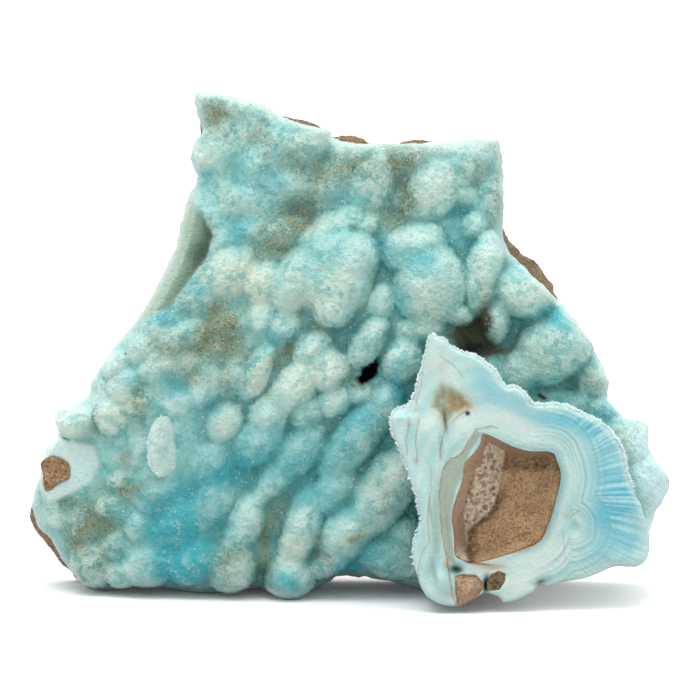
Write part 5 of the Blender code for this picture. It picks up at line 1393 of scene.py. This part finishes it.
def rock_material(name, group, base, light, dark, smooth):
    """Host rock: sandy brown with dark pits, a smooth tan rim, a pale speckled wall, and a crease darkened as painted
    shade (dark blotches on the back rock).
    """
    made, tree, shader, where = new_material(name)
    cloud = noise(tree, where, 3.0)
    colour = over(tree, ranged(tree, cloud, 0.3, 0.7), srgb(*base), srgb(*light))
    grains = grain_of(tree, group, where, 0.22)
    colour = over(tree, maths(tree, "MULTIPLY", grains["Dark"], 0.8), colour, srgb(*dark))
    colour = over(tree, maths(tree, "MULTIPLY", grains["Bright"], 0.7), colour, srgb(*light))
    sand = noise(tree, where, 0.38, 3.0)
    colour = over(tree, ranged(tree, sand, 0.50, 0.34, 0.0, 0.55), colour, srgb(*dark))
    colour = over(tree, ranged(tree, sand, 0.50, 0.62, 0.0, 0.8), colour, srgb(*light))
    # Painted shade along the core's crease; on the back rock the same mask gives dark blotches.
    crease = maths(tree, "MULTIPLY", mask(tree, "crease"), ranged(tree, noise(tree, where, 0.7), 0.35, 0.6, 0.3, 0.9))
    colour = over(tree, crease, colour, srgb(*dark))
    pale = maths(tree, "MULTIPLY", mask(tree, "wall"), ranged(tree, noise(tree, where, 0.5), 0.36, 0.5, 0.4, 1.0))
    colour = over(tree, pale, colour, srgb(255, 232, 204))
    pit = maths(tree, "MULTIPLY", mask(tree, "pit"), 0.55)
    colour = over(tree, pit, colour, srgb(*dark))
    colour = over(tree, maths(tree, "MULTIPLY", mask(tree, "smooth"), 0.9), colour, srgb(*smooth))
    colour = over(tree, maths(tree, "MULTIPLY", mask(tree, "edge"), 0.6), colour, srgb(168, 112, 52))
    tree.links.new(colour, shader.inputs["Base Color"])
    shader.inputs["Roughness"].default_value = 0.9
    bumped(tree, shader, maths(tree, "ADD", grains["Height"], sand), 0.5)
    return made


def druse_material():
    """White drusy crystals, each a little different, that let some light through."""
    made, tree, shader, _ = new_material("drusy_white")
    colour = over(tree, mask(tree, "shade"), srgb(238, 248, 248), srgb(206, 232, 232))
    tree.links.new(colour, shader.inputs["Base Color"])
    shader.inputs["Roughness"].default_value = 0.4
    shader.inputs["IOR"].default_value = 1.6
    glow_through(shader, 0.2, 0.6)
    return made


def sugar_material():
    """Clear to aqua grains on the crust."""
    made, tree, shader, _ = new_material("sugar_aqua")
    colour = over(tree, mask(tree, "shade"), srgb(206, 232, 226), srgb(160, 206, 202))
    tree.links.new(colour, shader.inputs["Base Color"])
    shader.inputs["Roughness"].default_value = 0.4
    glow_through(shader, 0.2, 0.6)
    return made


def make_camera():
    """A long lens at the photograph's low angle: 140 mm of the sheet fill the picture."""
    shown = 140.0 * MM
    distance = 5.0
    data = bpy.data.cameras.new("camera")
    data.sensor_width = 36.0
    data.lens = data.sensor_width * distance / shown
    data.clip_end = 100.0
    camera = bpy.data.objects.new("camera", data)
    bpy.context.scene.collection.objects.link(camera)
    aim = stand(np.array(0.0), np.array(50.0), np.array(0.0))
    back = np.array((0.0, -math.cos(LEAN), math.sin(LEAN)))
    camera.location = tuple(aim + back * distance)
    camera.rotation_euler = (math.pi / 2.0 - LEAN, 0.0, 0.0)
    bpy.context.scene.camera = camera


def area_light(name, place, target, size, power):
    data = bpy.data.lights.new(name, "AREA")
    data.shape = "DISK"
    data.size = size
    data.energy = power
    light = bpy.data.objects.new(name, data)
    light.location = place
    aim = np.array(target) - np.array(place)
    yaw = math.atan2(aim[0], -aim[1])
    pitch = math.atan2(math.hypot(aim[0], aim[1]), -aim[2])
    light.rotation_euler = (pitch, 0.0, yaw + math.pi)
    bpy.context.scene.collection.objects.link(light)


def make_studio():
    """A white ground, even white surroundings and one broad sun from above, the left and a little in front; the ground
    also glows for the camera, more to the right, as painted light in its shadow.
    """
    bpy.context.scene.view_settings.view_transform = "Standard"
    world = bpy.data.worlds.new("studio")
    world.use_nodes = True
    world.node_tree.nodes["Background"].inputs["Color"].default_value = (1.0, 1.0, 1.0, 1.0)
    world.node_tree.nodes["Background"].inputs["Strength"].default_value = 1.0
    bpy.context.scene.world = world
    sun = bpy.data.lights.new("broad_sun", "SUN")
    sun.energy = 1.9
    sun.angle = math.radians(46.0)
    lamp = bpy.data.objects.new("broad_sun", sun)
    lamp.rotation_euler = (math.radians(3.0), math.radians(-9.0), 0.0)
    bpy.context.scene.collection.objects.link(lamp)
    ground = bpy.data.materials.new("white_ground")
    ground.use_nodes = True
    shader = ground.node_tree.nodes["Principled BSDF"]
    seen = put(ground.node_tree, "ShaderNodeLightPath").outputs["Is Camera Ray"]
    white, dimmer = (0.95, 0.95, 0.95, 1.0), (0.55, 0.55, 0.55, 1.0)
    ground.node_tree.links.new(over(ground.node_tree, seen, dimmer, white), shader.inputs["Base Color"])
    where = put(ground.node_tree, "ShaderNodeTexCoord").outputs["Object"]
    across = put(ground.node_tree, "ShaderNodeSeparateXYZ", {"Vector": where}).outputs["X"]
    # Painted light: the ground glows for the camera, rising to the right, which lifts the shadow there.
    shadow_lifting_glow = ranged(ground.node_tree, across, 16.0 * MM, 46.0 * MM, 0.04, 0.34)
    ground.node_tree.links.new(maths(ground.node_tree, "MULTIPLY", seen, shadow_lifting_glow), shader.inputs["Emission Strength"])
    shader.inputs["Roughness"].default_value = 0.9
    shader.inputs["Emission Color"].default_value = (1.0, 1.0, 1.0, 1.0)
    bpy.ops.mesh.primitive_plane_add(size=60.0, location=(0.0, 0.0, cad_box[0][2]))
    floor = bpy.context.object
    floor.name = "floor"
    floor.data.materials.append(ground)


def build():
    make_camera()
    make_studio()
    group = sugar_group()
    crust_finish = crust_material(group)
    break_finish = break_material(group)
    druse = druse_material()
    core_finish = rock_material(
        "rock_core", group, (186, 148, 110), (224, 186, 142), (92, 62, 36), (182, 146, 118)
    )
    tan_finish = rock_material(
        "rock_back", group, (190, 150, 118), (216, 180, 148), (124, 90, 64), (198, 160, 128)
    )
    knob_finish = rock_material(
        "rock_knob", group, (218, 176, 138), (236, 204, 168), (150, 110, 78), (218, 180, 146)
    )
    chip_finish = rock_material(
        "rock_chip", group, (132, 106, 78), (186, 160, 128), (56, 40, 26), (150, 118, 86)
    )
    crust = make_crust(crust_finish)
    stub_edge = make_stub(crust_finish, break_finish)
    make_rock(
        "pitted_core", CORE_OUTLINE, CORE_MIDDLE,
        lambda across, up: break_face(across, up) + core_recess(across, up) - 0.1, CORE_BACK + 0.4, core_relief,
        core_finish, 380, 90, core_masks, "host_rock_core",
    )

    def small_relief(space, across, up):
        return 0.22 * mist(space, 0.6, 76) + 0.3 * mist(space, 1.6, 79) - 0.3 * pebbles(space, 0.9, 77, 0.6)

    make_rock(
        "light_knob", KNOB_OUTLINE, (23.4, 2.6),
        lambda across, up: break_face(across, up) + 0.7 - 1.7 * smoothstep(distance_to(KNOB_OUTLINE, across, up) / 2.2),
        KNOB_BACK,
        small_relief, knob_finish, 120, 24, masks_of_bit(KNOB_OUTLINE), "host_rock_knob",
    )
    make_rock(
        "dark_chip", CHIP_OUTLINE, (29.2, 4.0), lambda across, up: break_face(across, up) + 0.4, CHIP_BACK,
        small_relief, chip_finish, 110, 20, masks_of_bit(CHIP_OUTLINE), "host_rock_chip",
    )
    make_rock(
        "tip_rock", TIP_OUTLINE, (-58.8, 25.8), lambda across, up: tip_face(across) - 0.15, TIP_ROCK_BACK,
        small_relief, core_finish, 140, 28, masks_of_bit(TIP_OUTLINE), "host_rock_tip",
    )
    make_rock_back(tan_finish)
    shard_edge = make_shard(crust_finish)

    def on_top_or_left(across, up):
        top = smoothstep((up - 30.0 + 9.0 * smoothstep((across - 46.0) / 4.0)) / 6.0)
        left = smoothstep((15.0 - across) / 2.0) * smoothstep((up - 6.0) / 6.0)
        return np.clip(np.maximum(top, 0.25 * left), 0.0, 1.0)

    def on_left(across, up):
        return smoothstep((-36.6 - across) / 1.4)

    make_fringe("drusy_rim", stub_edge, 14000, on_top_or_left, 0.62, druse, 101)
    make_fringe("shard_druse", shard_edge, 1400, on_left, 0.5, druse, 103)
    make_sugar(crust, sugar_material(), 12000)


build()
